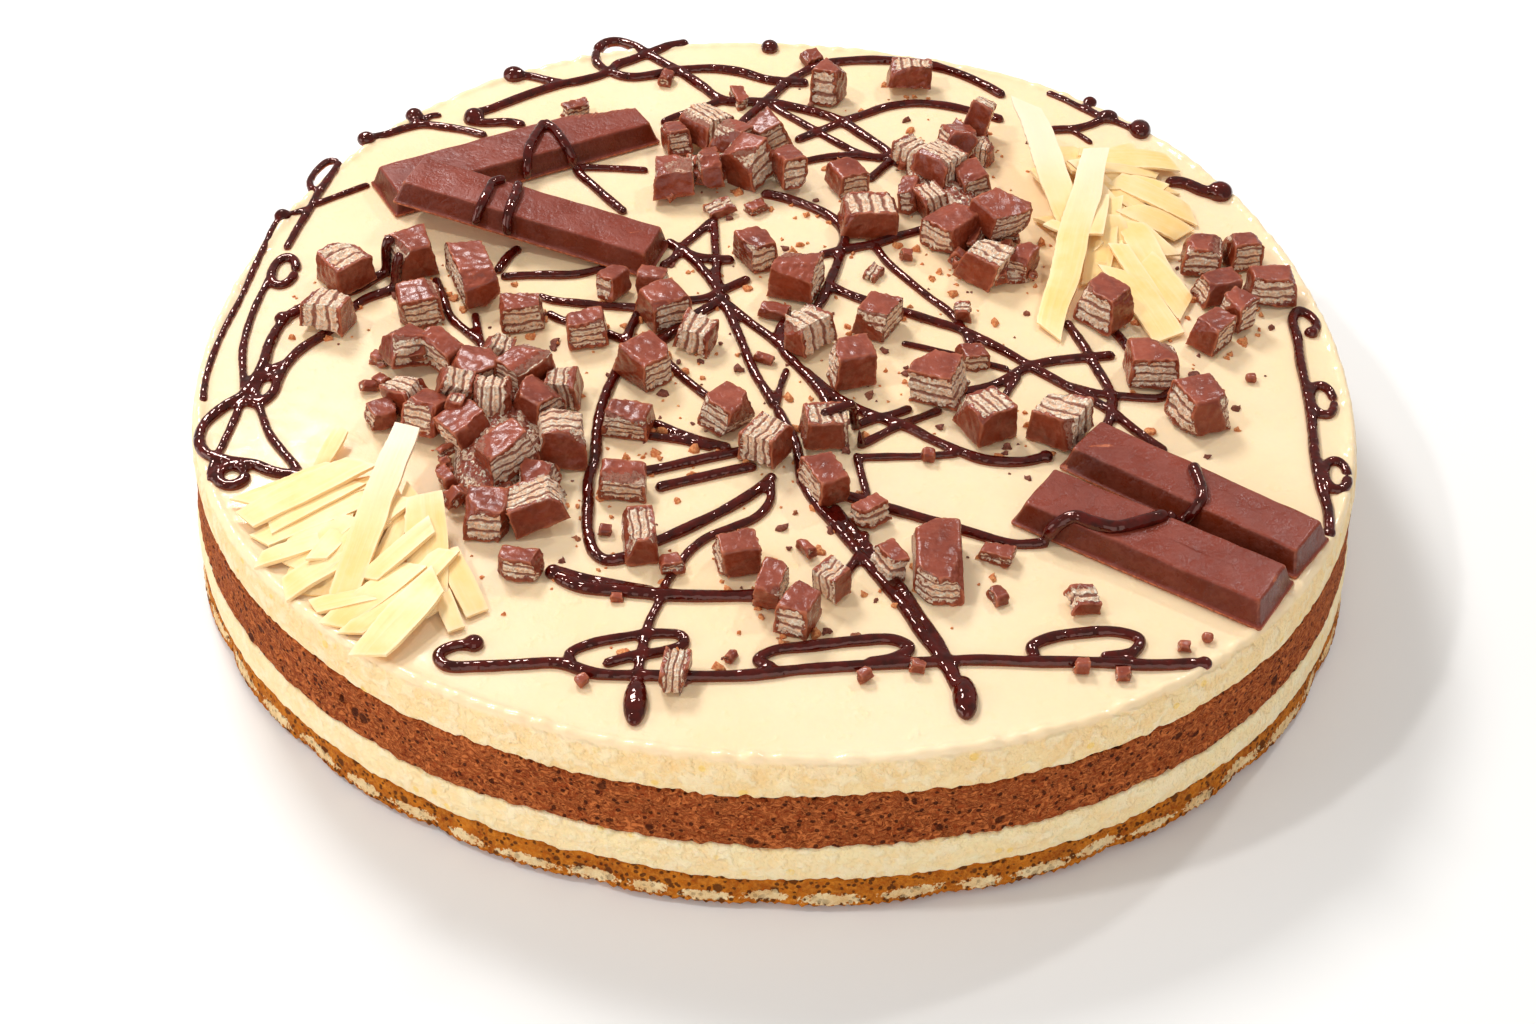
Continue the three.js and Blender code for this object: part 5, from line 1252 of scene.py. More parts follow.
# %% Wafer and chocolate: the finish
STRUTS_A_METRE = 620.0


def off_middle(tree, count):
    """How far a running count is from the middle of its present unit, 0 to 0.5."""
    return maths(tree, "ABSOLUTE", both_ways(tree, maths(tree, "FRACT", count)))


wafer_finish, tree, shader = new_finish("coated wafer", roughness=0.45, Specular_IOR_Level=0.3)
torn = add(tree, "ShaderNodeAttribute", attribute_name="crumb").outputs["Fac"]
sheets = add(tree, "ShaderNodeUVMap", uv_map="wafer map").outputs[0]
split = add(tree, "ShaderNodeSeparateXYZ", {0: sheets})
along, layer = split.outputs["X"], split.outputs["Y"]
grain = cloudy(tree, size=0.0008, detail=3.0, contrast=2.2)
shade = cloudy(tree, size=0.004, detail=4.0, contrast=1.6)
sway = times(tree, both_ways(tree, shade), 0.16)
in_sheet = off_middle(tree, maths(tree, "ADD", layer, sway))
filling = between(tree, in_sheet, 0.3, 0.42)
struts = maths(tree, "ADD", times(tree, along, STRUTS_A_METRE), times(tree, grain, 0.6))
strut = between(tree, off_middle(tree, struts), 0.2, 0.32)
# Painted shade: the air gaps between wafer sheets are coloured darker, as the shade in them.
shaded_hollow = times(tree, between(tree, in_sheet, 0.16, 0.07), maths(tree, "SUBTRACT", 1.0, strut))
wafer = mixed(tree, grain, paint(252, 196, 154), paint(255, 244, 222))
wafer = mixed(tree, times(tree, shade, 0.5), wafer, paint(255, 216, 184))
wafer = mixed(tree, times(tree, shaded_hollow, 0.3), wafer, paint(176, 96, 64))
wafer = mixed(tree, times(tree, filling, 0.85), wafer, paint(140, 62, 40))
cloud = cloudy(tree, size=0.01, detail=4.0, contrast=1.5)
dust = cloudy(tree, size=0.0012, detail=4.0, contrast=2.8)
rubbed_and_lit_edge = use(tree, worn_edge_highlight, From=0.51, To=0.58).outputs[0]
upper = use(tree, painted_top_light).outputs[0]
# Painted light: the coat's upper sides are lighter as if lit, its flanks darker as painted shade.
shaded_flank = mixed(tree, cloud, paint(108, 38, 18), paint(138, 55, 28))
coat = mixed(tree, upper, shaded_flank, mixed(tree, cloud, paint(120, 50, 34), paint(158, 76, 55)))
coat = mixed(tree, times(tree, times(tree, dust, shade), 0.2), coat, paint(186, 112, 88))
# Lighter sharp edges on the coat: partly wear, partly a painted highlight.
coat = mixed(tree, times(tree, rubbed_and_lit_edge, 0.6), coat, paint(204, 120, 84))
ragged = maths(tree, "ADD", torn, times(tree, both_ways(tree, grain), 0.0006))
bare = between(tree, ragged, -0.0001, 0.0002)
tree.links.new(between(tree, bare, 0, 1, 0.26, 0.8), shader.inputs["Roughness"])
tree.links.new(between(tree, bare, 0, 1, 0.18, 0.0), shader.inputs["Coat Weight"])
shader.inputs["Coat Roughness"].default_value = 0.25
dents = maths(tree, "ADD", times(tree, maths(tree, "ADD", filling, shaded_hollow), -0.7), grain)
relief = maths(tree, "ADD", times(tree, dents, bare), times(tree, shade, 0.5))
coloured(tree, shader, mixed(tree, bare, coat, wafer), relief, 0.0003)


# %% Chunk: a box of fine squares
def grid_box(counts):
    """The surface of a box as points from -0.5 to 0.5 and squares that face outwards."""
    cells, squares, first = [], [], 0
    for axis in range(3):
        a, b = (axis + 1) % 3, (axis + 2) % 3
        for end in (0, 1):
            step_a, step_b = np.meshgrid(
                np.arange(counts[a] + 1), np.arange(counts[b] + 1), indexing="ij")
            grid = np.zeros((*step_a.shape, 3), int)
            grid[..., a], grid[..., b], grid[..., axis] = step_a, step_b, counts[axis] * end
            number = first + np.arange(step_a.size).reshape(step_a.shape)
            square = np.stack(
                [number[:-1, :-1], number[1:, :-1], number[1:, 1:], number[:-1, 1:]], -1)
            squares.append(square.reshape(-1, 4)[:, :: 1 if end else -1])
            cells.append(grid.reshape(-1, 3))
            first += step_a.size
    cells, squares = np.concatenate(cells), np.concatenate(squares)
    key = cells @ [1, 1000, 1000000]  # points that two sides share become one
    _, chosen, number = np.unique(key, return_index=True, return_inverse=True)
    return cells[chosen] / counts - 0.5, number.ravel()[squares]


# %% [markdown]
# Which faces are torn was read off the photograph for each chunk: front, left, right or top, as
# the camera sees them. A chopped piece has two torn ends, so the face behind is torn as well. The
# sheets always run along the piece, so a top face that is torn shows them standing on edge.

# %% Chunk: its shape
TORN_TOWARDS = {"F": -90, "L": -170, "R": -10}
COAT, CHUNK_TAPER = 0.95, 0.9  # the coat's thickness, and a chunk's width at its top
CHUNK_FOOT = TOP + GAP * 0.4


def torn_axes(seen, turn):
    """The box's own axes whose faces are torn, from letters such as FL for front left."""
    axes = set()
    for word in seen.split():
        if word == "T":
            axes.add(2)
            continue
        aim = np.mean([TORN_TOWARDS[letter] for letter in word])
        off = abs((aim - turn + 45) % 180 - 45)
        axes.add(0 if off <= 45 else 1)
    return sorted(axes)


def chunk_shape(size, axes, seed, step=0.5, sheets=None, chops=3, tilt=0.0):
    """Points on z = 0, squares, crumb depth and wafer map for one chunk."""
    draw = np.random.default_rng(seed)
    size = np.asarray(size, float)
    stack = next(axis for axis in ((2, 1, 0) if 2 not in axes else (1, 0)) if axis not in axes)
    fine = np.full(3, step)
    if axes:
        fine[stack] = step * 0.72
    shape, squares = grid_box(np.maximum(4, np.round(size / fine)).astype(int))
    at_end = np.abs(np.abs(shape) - 0.5) < 1e-6
    points = shape * size
    half = size / 2
    coated_axes = [axis for axis in range(3) if axis not in axes]
    depth = np.full(len(points), 1e9)
    for axis in coated_axes:
        depth = np.minimum(depth, half[axis] - np.abs(points[:, axis]))
    on_torn = at_end[:, axes].any(1) if axes else np.zeros(len(points), bool)
    crumb = np.where(on_torn, depth - COAT * (1 + 0.35 * wobble(points, 2.5, seed)), -1.0)

    # Coated edges are round.
    corner = draw.uniform(0.5, 1.1)
    inner = np.clip(points, -(half - corner), half - corner)
    away = points - inner
    for axis in axes:
        away[:, axis] = 0
    reach = np.linalg.norm(away, axis=1)
    pull = np.where(reach > 1e-9, np.minimum(1, corner / np.maximum(reach, 1e-9)), 1)
    points = points + away * (pull - 1)[:, None]

    # Torn faces are ragged and sunk between the sheets.
    sheets = sheets or draw.integers(3, 5)
    level = (shape[:, stack] + 0.5) * sheets + 0.1 * wobble(points, 8, seed + 1)
    between_sheets = smooth_step(0.28, 0.46, np.abs(level % 1 - 0.5))
    for axis in axes:
        others = [k for k in range(3) if k != axis]
        lean = draw.normal(0, 0.06, 2)
        face = np.where(at_end[:, axis], 1.0, smooth_step(0.3, 0.5, np.abs(shape[:, axis])))
        sunk = smooth_step(-0.1, 0.3, crumb) * at_end[:, axis]
        rough = 0.35 * wobble(points, 3.2, seed + 2) + 0.22 * wobble(points, 1.2, seed + 3)
        nibbled = 0.2 * np.abs(wobble(points, 1.0, seed + 4))
        inwards = sunk * (0.15 + 0.35 * between_sheets + nibbled)
        slant = points[:, others] @ lean
        outwards = face * (0.5 * rough - 0.1) - inwards
        points[:, axis] += np.sign(shape[:, axis]) * outwards + face * slant

    # Flats are left where a corner or an edge broke off.
    for _ in range(chops):
        normal = draw.normal(size=3) * [1, 1, 0.7] + [0, 0, 0.5]
        normal /= np.linalg.norm(normal)
        limit = (np.abs(normal) * half).sum() * draw.uniform(0.62, 0.82)
        past = points @ normal - limit + 0.15 * wobble(points, 1.5, seed + 6)
        points -= np.maximum(past, 0)[:, None] * normal * 0.95
        if draw.random() < 0.5:
            crumb = np.maximum(crumb, np.where(past > 0.5, 0.25, -1.0))
    points = points + 0.12 * np.stack([wobble(points, 3, seed + 7 + k) for k in range(3)], 1)

    # Every chunk leans a little, and it stands on its lowest point.
    points[:, :2] += draw.normal(0, 0.05, 2) * (points[:, 2:] + half[2])
    points[:, :2] *= (1 - (1 - CHUNK_TAPER) * (shape[:, 2:] + 0.5))
    if tilt:
        lean = Matrix.Rotation(math.radians(draw.normal(0, tilt)), 3, "X") @ Matrix.Rotation(
            math.radians(draw.normal(0, tilt)), 3, "Y")
        points = points @ np.array(lean).T
    points[:, 2] -= points[:, 2].min()
    along_face = sum(shape[:, k] * size[k] for k in range(3) if k != stack)
    return points, squares, crumb, along_face * MM, level


def lay_wafer(name, parts):
    """One object from several chunk shapes, each already in its place."""
    points, squares, crumb, along, level = merged(parts)
    piece = mesh_object(name, points, squares)
    mark(piece, "crumb", crumb * MM)
    lay_map(piece, "wafer map", along, level)
    return piece


# %% The forty-six chunks
SEEN_TORN = [
    "FL", "T", "", "T", "F", "F", "R", "FR", "R", "FL", "FL", "F", "L", "R T", "T", "L F", "",
    "R", "R T", "L", "R", "", "", "T F", "F", "FR", "F", "FL", "T FL", "T", "FL", "", "T",
    "L R", "FR", "", "T F", "F", "T F", "F", "T", "F T", "L", "", "L", "F",
]
for number, ((at, turn, size), seen) in enumerate(zip(CHUNKS, SEEN_TORN), start=1):
    axes = torn_axes(seen, turn) or [0]
    points, *rest = chunk_shape(size, axes, 1000 + 17 * number, tilt=2.5)
    points = placed(points, placement((*at, CHUNK_FOOT), turn))
    piece = lay_wafer(f"wafer_piece_{number:02d}", [(points, *rest)])
    finished(piece, wafer_finish, "coated_wafer", f"wafer_chunk_{number:02d}")
print("chunks:", number, "triangles each about", triangles["wafer_piece_10"])

# %% [markdown]
# ## The heaps of chunks
# A heap is built as it lies: a rough core of broken bits keeps the shape, and the chunks that
# show are set round and over it, each tilted a little its own way. Small splinters fill the
# joins.


# %% The heaps
HIGHEST = 55.2  # no heap stands higher than its solid


def beside(x, y, turn, u, v):
    """The place that is u along and v across from x and y, in a heap that is turned."""
    angle = math.radians(turn)
    return np.array([x + u * math.cos(angle) - v * math.sin(angle),
                     y + u * math.sin(angle) + v * math.cos(angle)])


def rough_mound(x, y, half_length, half_width, height, turn, seed):
    """The core of a heap: a low dome of squares with a lumpy skin."""
    shape, squares = grid_box([26, 26, 8])
    ball = shape * 2
    ball[:, 2] = shape[:, 2] + 0.5
    spread = np.maximum(np.abs(ball[:, 0]), np.abs(ball[:, 1]))
    rounder = spread / np.maximum(np.hypot(ball[:, 0], ball[:, 1]), 1e-6)
    round_plan = ball[:, :2] * rounder[:, None]
    rise = ball[:, 2] * np.sqrt(np.clip(1 - (round_plan**2).sum(1) * 0.96, 0, 1))
    points = np.column_stack([round_plan * [half_length, half_width], rise * height])
    lumps = np.round(1.5 * wobble(points, 7, seed)) / 1.5 * 0.8
    lumps = lumps + 0.5 * wobble(points, 2.5, seed + 1)
    points[:, 2] += np.maximum(lumps, -0.8) * (ball[:, 2] > 0.5) * smooth_step(1.0, 0.7, spread)
    points = placed(points, placement((x, y, TOP + 0.1), turn))
    crumb = 0.4 * wobble(points, 4, seed + 2)
    return points, squares, crumb, points[:, 0] * MM, points[:, 2] / 1.7


def splinter(x, y, z, size, seed):
    """A small broken bit, torn on two sides."""
    draw = np.random.default_rng(seed)
    axes = [[0], [1], [0, 1], [2]][draw.integers(4)]
    points, *rest = chunk_shape(size, axes, seed, step=0.55, sheets=2, chops=2, tilt=12)
    return (placed(points, placement((x, y, z), draw.uniform(0, 360))), *rest)


for index, (name, heap) in enumerate(CHUNK_HEAPS.items()):
    draw = np.random.default_rng(60 + index)
    parts = []
    for i, (x, y, half_length, half_width, height, lie) in enumerate(heap["mounds"]):
        core = half_length * 0.86, half_width * 0.8, height
        parts.append(rough_mound(x, y, *core, lie, 70 + 5 * index + i))
        for j in range(round(half_length)):
            around = draw.uniform(0, 2 * math.pi)
            u, v = half_length * 0.9 * math.cos(around), half_width * 0.95 * math.sin(around)
            place = beside(x, y, lie, u, v)
            small = draw.uniform((2.5, 2, 1.5), (7.5, 4.5, 3.5))
            foot = TOP + draw.uniform(0.1, 1.5)
            parts.append(splinter(*place, foot, small, 1200 + 40 * index + 7 * i + j))
    for i, (at, turn, size, lift) in enumerate(heap["chunks"]):
        axes = [[0], [1], [0, 2], [1], [0], [1, 2]][draw.integers(6)]
        points, *rest = chunk_shape(size, axes, 400 + 100 * index + i, step=0.55, tilt=9)
        spot = placement((*at, CHUNK_FOOT + lift), turn + draw.normal(0, 6))
        parts.append((placed(points, spot), *rest))
        if i % 2 == 0:
            place = np.asarray(at) + draw.normal(0, 5, 2)
            small = draw.uniform((3, 2, 1.5), (7, 4.5, 3))
            foot = TOP + lift + draw.uniform(0, 4)
            parts.append(splinter(*place, foot, small, 900 + 40 * index + i))
    for part in parts:
        part[0][:, 2] -= max(0, part[0][:, 2].max() - HIGHEST)
    piece = lay_wafer(f"{name}_pieces", parts)
    finished(piece, wafer_finish, "coated_wafer", name)
    print(piece.name, "triangles:", triangles[piece.name])

# %% [markdown]
# ## Flakes and chips
# Chopping leaves thin flakes of wafer and chips of chocolate. They lie flat on the cream between
# the chunks, and they are made by the same rule as a chunk, only smaller and torn on more sides.

# %% Flakes and chips
parts = []
draw = np.random.default_rng(8)
for number, (x, y, length, width, height, turn) in enumerate(FLAKES):
    choices = [[0, 1], [0], [1], [0, 2]] if length > 3.5 else [[0], []]
    axes = choices[draw.integers(len(choices))]
    points, *rest = chunk_shape((length, width, height), axes, 2000 + 7 * number, step=0.4,
                                sheets=2, chops=3, tilt=6)
    parts.append((placed(points, placement((x, y, TOP - 0.1), turn)), *rest))
flakes = lay_wafer("wafer_flakes", parts)
finished(flakes, wafer_finish, "coated_wafer", "cream_layer_top")
print("flakes:", len(parts), "triangles:", triangles["wafer_flakes"])

# %% [markdown]
# # The white chocolate shavings
# A blade pushed along a block lifts long thin curls. They are bowed along their length, cupped
# across it, streaked by the blade and ragged along one edge. Each is a fine grid, bent by a rule,
# with a top and an underside. They lie in two heaps over a low core of broken shavings.

# %% Where the shavings lie
SHARD_HEAPS = {
    "white_shards_left": {
        "mounds": [
            [-90, -82, 19, 12, 5, 35], [-101, -69.5, 14, 9, 4.5, 30], [-78, -99, 11, 5, 3.5, 60]],
        "shards": [
            [[-91.5, -98.5, 1.2], [-82.5, -51, 12], 7, 2],
            [[-87, -98, 0.9], [-79.5, -66, 6.5], 4, 1],
            [[-116, -72.5, 2.1], [-92, -58, 7], 8, 1.5], [[-112, -78, 1], [-88, -66, 5], 7, 1.5],
            [[-118, -66.5, 2], [-98, -56, 4], 5, 1], [[-104, -93, 1], [-86, -80, 5], 7, 1.5],
            [[-104, -86, 1.2], [-92, -74, 5], 5, 1], [[-91.5, -104, 1], [-77, -88, 4.5], 7, 1],
            [[-83, -113.5, 2.3], [-71, -93, 5], 8.5, 1],
            [[-73, -93, 2.6], [-76.5, -69, 7.5], 9, 1.2],
            [[-62, -99, 0.9], [-70.5, -83, 4], 5.5, 1], [[-66, -104, 0.9], [-71, -92, 2.5], 4, 0.8],
            [[-93, -64, 2], [-83, -65, 5], 8, 1], [[-97, -98, 0.9], [-84, -96, 3], 5, 0.8],
            [[-111, -84, 0.9], [-98, -80, 3.5], 5, 1],
        ],
    },
    "white_shards_right": {
        "mounds": [[84, 49, 31, 14, 9, 84]],
        "shards": [
            [[66.5, 2.5, 1.1], [83.5, 69, 11.5], 8, 2], [[75, 42, 5.5], [66, 88, 13.5], 8, 2],
            [[79.5, 23, 1.4], [86, 52, 7], 7, 1.5], [[97, 24, 1], [90, 44, 5.5], 8, 1.4],
            [[95.5, 1, 1], [86, 25, 4], 9, 1.2], [[101.5, 13, 0.9], [92.5, 30, 3.5], 8, 1],
            [[102, 68.5, 1.2], [84, 61, 6.5], 10, 1.8], [[106, 78.5, 1.6], [84, 74, 5], 9, 1.8],
            [[108.5, 54, 1.1], [88, 62, 6.5], 8, 1.6], [[105, 45, 1], [90, 50, 6], 9, 1.5],
            [[69, 77, 1.2], [75, 60, 4.5], 8, 1.2], [[70.5, 52, 1.2], [77, 41, 5], 8, 1.4],
            [[73.5, 33, 1], [82, 38, 5], 7, 1], [[97, 86, 1], [80, 70, 5], 6, 1.2],
            [[87, 33, 1], [84, 45, 7], 8, 1.2], [[78, 86, 1], [80, 66, 6], 7, 1.4],
        ],
    },
}

# %% White chocolate: the finish
ivory, tree, shader = new_finish(
    "white chocolate", roughness=0.42, Specular_IOR_Level=0.25, Coat_Weight=0.06,
    Coat_Roughness=0.3, Subsurface_Weight=0.1, Subsurface_Scale=0.001,
    Subsurface_Radius=(1.0, 0.8, 0.4))
strip = add(tree, "ShaderNodeUVMap", uv_map="strip map").outputs[0]
drawn = add(tree, "ShaderNodeMapping", {"Vector": strip, "Scale": (0.05, 1.0, 1.0)}).outputs[0]
streaks = add(tree, "ShaderNodeTexNoise", {
    "Vector": drawn, "Scale": 900.0, "Detail": 3.0}).outputs["Fac"]
cloud = cloudy(tree, size=0.012, detail=4.0, contrast=1.4)
thin_edge_highlight = use(tree, worn_edge_highlight, From=0.51, To=0.6).outputs[0]
colour = mixed(tree, cloud, paint(255, 208, 128), paint(255, 223, 164))
colour = mixed(tree, between(tree, streaks, 0.45, 0.75, 0.0, 0.25), colour, paint(255, 232, 190))
lit_above = between(tree, height_of(tree), 0.047, 0.0535, 0.0, 0.8)
colour = mixed(tree, lit_above, colour, paint(255, 232, 206))
# Painted highlight: thin sharp edges of the shavings are coloured whiter.
colour = mixed(tree, times(tree, thin_edge_highlight, 0.4), colour, paint(255, 238, 210))
relief = maths(tree, "ADD", streaks, times(tree, cloud, 0.5))
coloured(tree, shader, colour, relief, 0.0001)


# %% A shaving's shape
def shaving(start, tip, width, bow, seed):
    """Points, squares and strip map of one curl from its foot to its tip."""
    draw = np.random.default_rng(seed)
    start, tip = np.asarray(start, float), np.asarray(tip, float)
    length = np.linalg.norm(tip - start)
    shape, squares = grid_box(np.array([max(8, round(length)), max(6, round(width / 0.8)), 2]))
    s, t, up = shape.T
    slants = draw.uniform(-0.8, 0.8, 2)
    x = s * length + t * width * np.where(s > 0, *slants) * smooth_step(0.2, 0.5, np.abs(s))
    narrow = 1 - draw.uniform(0.1, 0.8) * s * s
    ragged = 1 + 0.03 * wobble(np.column_stack([x, 9 * np.sign(t)]), 12, seed)
    ragged = ragged + 0.025 * (t > 0) * wobble(np.column_stack([x]), 2.6, seed + 1)
    y = t * width * narrow * ragged + 0.3 * wobble(np.column_stack([x]), 40, seed + 4)
    cup = draw.uniform(-0.1, 0.14) * width / 7
    thick = 1 - 0.35 * smooth_step(0.3, 0.5, t)
    thick = thick * (1 - 0.3 * smooth_step(0.35, 0.5, np.abs(s)))
    twist = draw.uniform(-0.14, 0.14) * s
    z = up * thick + bow * (0.25 - s * s) * 1.1 - cup * (2 * t) ** 2
    y, z = y * np.cos(twist) - z * np.sin(twist), y * np.sin(twist) + z * np.cos(twist)
    points = np.stack([x, y, z], 1)
    points[:, 2] += 0.03 * wobble(points[:, :2], 9, seed + 2)
    heading = tip - start
    matrix = Matrix.Rotation(math.atan2(heading[1], heading[0]), 4, "Z") @ Matrix.Rotation(
        -math.asin(heading[2] / length), 4, "Y")
    points = points @ np.array(matrix)[:3, :3].T + (start + tip) / 2 + [*LAYOUT_ZERO, TOP]
    points[:, 2] = np.clip(points[:, 2], TOP + 0.05 + 0.2 * (up + 0.5), HIGHEST + 1)
    return points, squares, (x + 500 * seed % 97) * MM, (t * width + 13 * seed % 31) * MM


def low_core(x, y, half_length, half_width, height, turn, seed):
    """The broken shavings under a heap, as a ridged dome."""
    core = half_length * 0.85, half_width * 0.8, height * 0.5
    points, squares, *_ = rough_mound(x, y, *core, turn, seed)
    return points, squares, points[:, 0] * MM, points[:, 1] * MM


# %% The heaps of shavings
EXTRA_SHARDS = {
    "white_shards_left": [
        [[-102.5, -53, 0.9], [-99, -42, 3.2], 4, 0.6], [[-110, -75, 2.2], [-93, -63, 5.5], 5, 1.2],
        [[-99, -91, 2], [-84, -74, 6], 5, 1.2], [[-96, -84, 3], [-80, -70, 7], 5, 1.2],
        [[-88, -106, 1.2], [-74, -92, 4], 5, 1], [[-80, -100, 2], [-70, -84, 5], 5.5, 1],
        [[-86, -92, 3.5], [-74, -78, 7], 5, 1], [[-104, -68, 2.5], [-88, -62, 5.5], 4.5, 1],
        [[-112, -69.5, 1.2], [-96, -61, 4], 4, 1],
    ],
    "white_shards_right": [
        [[100, 35, 1.5], [86, 50, 6.5], 5, 1.2], [[98, 60, 2], [82, 66, 7], 5, 1.2],
        [[94, 14, 1.5], [86, 34, 5.5], 5, 1], [[90, 44, 4], [80, 60, 9], 5, 1.2],
        [[92, 52, 3.5], [78, 68, 8.5], 5, 1.2], [[96, 78, 1.2], [80, 76, 6], 5, 1.2],
        [[100, 49, 1.2], [86, 58, 6.5], 5, 1.2], [[101, 72, 1.4], [84, 66, 7.5], 4.5, 1.3],
    ],
}
for index, (name, heap) in enumerate(SHARD_HEAPS.items()):
    parts = [low_core(*mound, seed=80 + 5 * index + i) for i, mound in enumerate(heap["mounds"])]
    parts += [shaving(*shard, seed=500 + 50 * index + i)
              for i, shard in enumerate(heap["shards"] + EXTRA_SHARDS[name])]
    draw = np.random.default_rng(90 + index)
    for i in range(3):
        x, y, half_length, half_width, height, turn = heap["mounds"][i % len(heap["mounds"])]
        u, v = draw.uniform(-0.85, 0.85, 2)
        spot = beside(x, y, turn, u * half_length, v * half_width)
        aim = math.radians(draw.uniform(20, 110) if index == 0 else draw.uniform(60, 170))
        reach = draw.uniform(3.5, 9) * np.array([math.cos(aim), math.sin(aim)])
        low = height * 0.7 * math.sqrt(max(0.05, 1 - u * u * 0.9 - v * v * 0.9))
        start = *(spot - reach), low + draw.uniform(0, 1)
        tip = *(spot + reach), low + draw.uniform(0.5, 3)
        width, bow = draw.uniform(2.6, 6), draw.uniform(0.3, 1.0)
        parts.append(shaving(start, tip, width, bow, seed=700 + 50 * index + i))
    points, squares, along, across = merged(parts)
    piece = mesh_object(f"{name}_pieces", points, squares)
    lay_map(piece, "strip map", along, across)
    piece.data.set_sharp_from_angle(angle=math.radians(38))
    finished(piece, ivory, "white_chocolate", name)
    print(piece.name, "triangles:", triangles[piece.name])

# %% [markdown]
# # The crumbs
# Crumbs fall wherever wafer was chopped: thickest round the heaps and chunks, a few far out. The
# places are drawn with a fixed seed, and Geometry Nodes set a small lumpy crumb on each, turned
# and sized at random. A number kept with each crumb lets one finish give tan crumbs and brown
# ones.

# %% Where the crumbs fall
draw = np.random.default_rng(31)
spots = []
for at, turn, size in CHUNKS:
    for _ in range(draw.integers(11, 19)):
        spots.append(np.asarray(at) + draw.normal(0, 8, 2))
for heap in CHUNK_HEAPS.values():
    for x, y, half_length, half_width, height, turn in heap["mounds"]:
        for _ in range(34):
            spots.append(np.array([x, y]) + draw.normal(0, 1, 2) * (half_length * 0.6 + 5))
for _ in range(16):
    spots.append(draw.uniform(-80, 110, 2))
spots = np.array([spot + LAYOUT_ZERO for spot in spots if np.hypot(*spot) < 122])
cloud_mesh = bpy.data.meshes.new("crumbs")
cloud_mesh.from_pydata([(x * MM, y * MM, TOP * MM) for x, y in spots], [], [])
crumbs = in_scene("crumbs", cloud_mesh)
print("crumbs:", len(spots))

# %% A node tree that scatters crumbs
scatter, given, out = new_tree("scatter of crumbs", {
    "Crumb Size": ("Float", 0.0005), "Least": ("Float", 0.4), "Most": ("Float", 1.6),
    "Seed": ("Int", 3), "Finish": ("Material", None),
})
ball = add(scatter, "GeometryNodeMeshIcoSphere", {
    "Radius": given["Crumb Size"], "Subdivisions": 2})
spot = add(scatter, "GeometryNodeInputPosition").outputs[0]
bend = add(scatter, "ShaderNodeTexNoise", {
    "Vector": spot, "Scale": maths(scatter, "DIVIDE", 0.6, given["Crumb Size"]), "Detail": 1.0,
}).outputs["Color"]
centred = add(scatter, "ShaderNodeVectorMath", {
    0: bend, 1: (0.5, 0.5, 0.5)}, operation="SUBTRACT").outputs[0]
bent = add(scatter, "ShaderNodeVectorMath", {
    0: centred, "Scale": times(scatter, given["Crumb Size"], 2.6)}, operation="SCALE").outputs[0]
lumpy = add(scatter, "GeometryNodeSetPosition", {"Geometry": ball.outputs[0], "Offset": bent})
turns = add(scatter, "FunctionNodeRandomValue", {
    "Min": (0.0, 0.0, 0.0), "Max": (6.28, 6.28, 6.28), "Seed": given["Seed"],
}, data_type="FLOAT_VECTOR")
sizes = add(scatter, "FunctionNodeRandomValue", {
    "Min": given["Least"], "Max": given["Most"], "Seed": maths(scatter, "ADD", given["Seed"], 1.0),
}, data_type="FLOAT")
share = maths(scatter, "DIVIDE", sizes.outputs[1], given["Most"])
small_often = times(scatter, maths(scatter, "POWER", share, 2.0), given["Most"])
sized = maths(scatter, "MAXIMUM", small_often, given["Least"])
points = add(scatter, "GeometryNodeMeshToPoints", {"Mesh": given["Geometry"]})
set_out = add(scatter, "GeometryNodeInstanceOnPoints", {
    "Points": points.outputs[0], "Instance": lumpy.outputs[0],
    "Rotation": turns.outputs[0], "Scale": sized})
shade = add(scatter, "FunctionNodeRandomValue", {
    "Min": 0.0, "Max": 1.0, "Seed": maths(scatter, "ADD", given["Seed"], 2.0)}, data_type="FLOAT")
kept = add(scatter, "GeometryNodeStoreNamedAttribute", {
    "Geometry": set_out.outputs[0], "Name": "crumb shade", "Value": shade.outputs[1],
}, data_type="FLOAT", domain="INSTANCE")
end_tree(scatter, kept.outputs[0], given["Finish"], out)

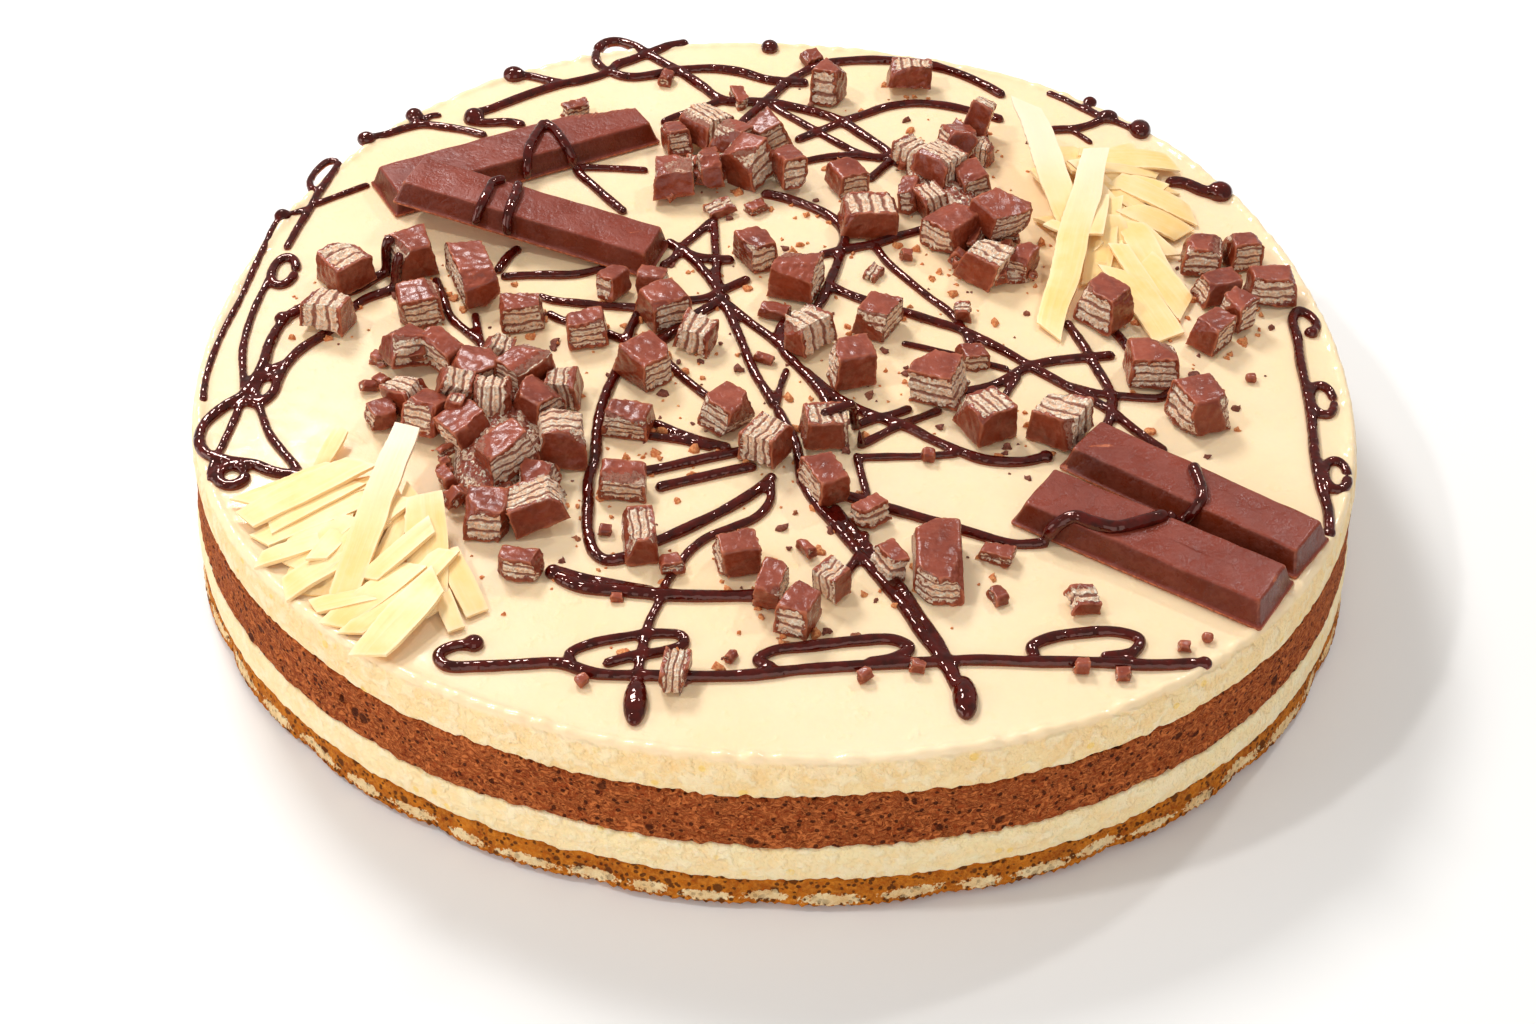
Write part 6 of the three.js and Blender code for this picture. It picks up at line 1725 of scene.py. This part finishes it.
# %% Crumbs: the finish and the shape
crumb_finish, tree, shader = new_finish("wafer crumbs", roughness=0.7)
kind = add(tree, "ShaderNodeAttribute", attribute_name="crumb shade").outputs["Fac"]
grain = cloudy(tree, size=0.0006, detail=3.0, contrast=2.0)
tan = mixed(tree, grain, paint(222, 118, 62), paint(246, 168, 104))
brown = mixed(tree, grain, paint(120, 58, 40), paint(156, 88, 66))
colour = mixed(tree, between(tree, kind, 0.74, 0.78), tan, brown)
coloured(tree, shader, colour, grain, 0.0002)
crumbs = shaped(
    crumbs, scatter, Crumb_Size=0.0009, Least=0.35, Most=1.5, Seed=3, Finish=crumb_finish)
shade_smooth(crumbs.data)
finished(crumbs, crumb_finish, "coated_wafer", "cream_layer_top")
print("crumb triangles:", triangles["crumbs"])

# %% [markdown]
# # The studio
# The photograph has soft daylight from behind on the left and a pale surround. One soft lamp from
# there gives the shapes their shade, two weak ones in front and on the left open the shadows, two
# small ones set glints in the syrup, and the world fills in the rest. The floor is plain and
# pale.

# %% Floor, lamps and world
floor_mesh = bpy.data.meshes.new("floor")
HALF_SIDE, LEVEL = 1.6, -0.0005
corners = [(HALF_SIDE * x, HALF_SIDE * y, LEVEL) for x, y in ((-1, -1), (1, -1), (1, 1), (-1, 1))]
floor_mesh.from_pydata(corners, [], [(0, 1, 2, 3)])
floor = in_scene("floor", floor_mesh)
floor_finish, tree, shader = new_finish("pale floor", roughness=0.8)
shader.inputs["Base Color"].default_value = paint(246, 245, 243)
floor_mesh.materials.append(floor_finish)


def lamp(name, place, target, watts, size):
    """A soft square lamp that points at a target, all in metres."""
    light = bpy.data.lights.new(name, "AREA")
    light.energy, light.size = watts, size
    lit = in_scene(name, light)
    lit.location = place
    aim = Vector(target) - Vector(place)
    lit.rotation_euler = aim.to_track_quat("-Z", "Y").to_euler()


lamp("window", (-0.4, 0.7, 0.9), (0, 0, 0.02), 8.6, 0.28)
lamp("fill", (0.2, -1.15, 0.5), (0, 0, 0.02), 4.4, 1.1)
lamp("left fill", (-1.15, -0.4, 0.35), (0, 0, 0.02), 4.2, 0.7)
lamp("glint left", (-0.5, -0.1, 0.8), (0, 0, 0.04), 1.8, 0.05)
lamp("glint right", (0.45, 0.5, 0.75), (0, 0, 0.04), 1.8, 0.05)
world = bpy.data.worlds.new("studio")
bpy.context.scene.world = world
world.use_nodes = True
background = world.node_tree.nodes["Background"]
background.inputs["Color"].default_value = (1.0, 0.985, 0.96, 1.0)
background.inputs["Strength"].default_value = 0.4
bpy.context.scene.view_settings.view_transform = "Standard"
bpy.context.scene.view_settings.look = "None"

# %% Measure
print("triangles in all:", sum(triangles.values()))
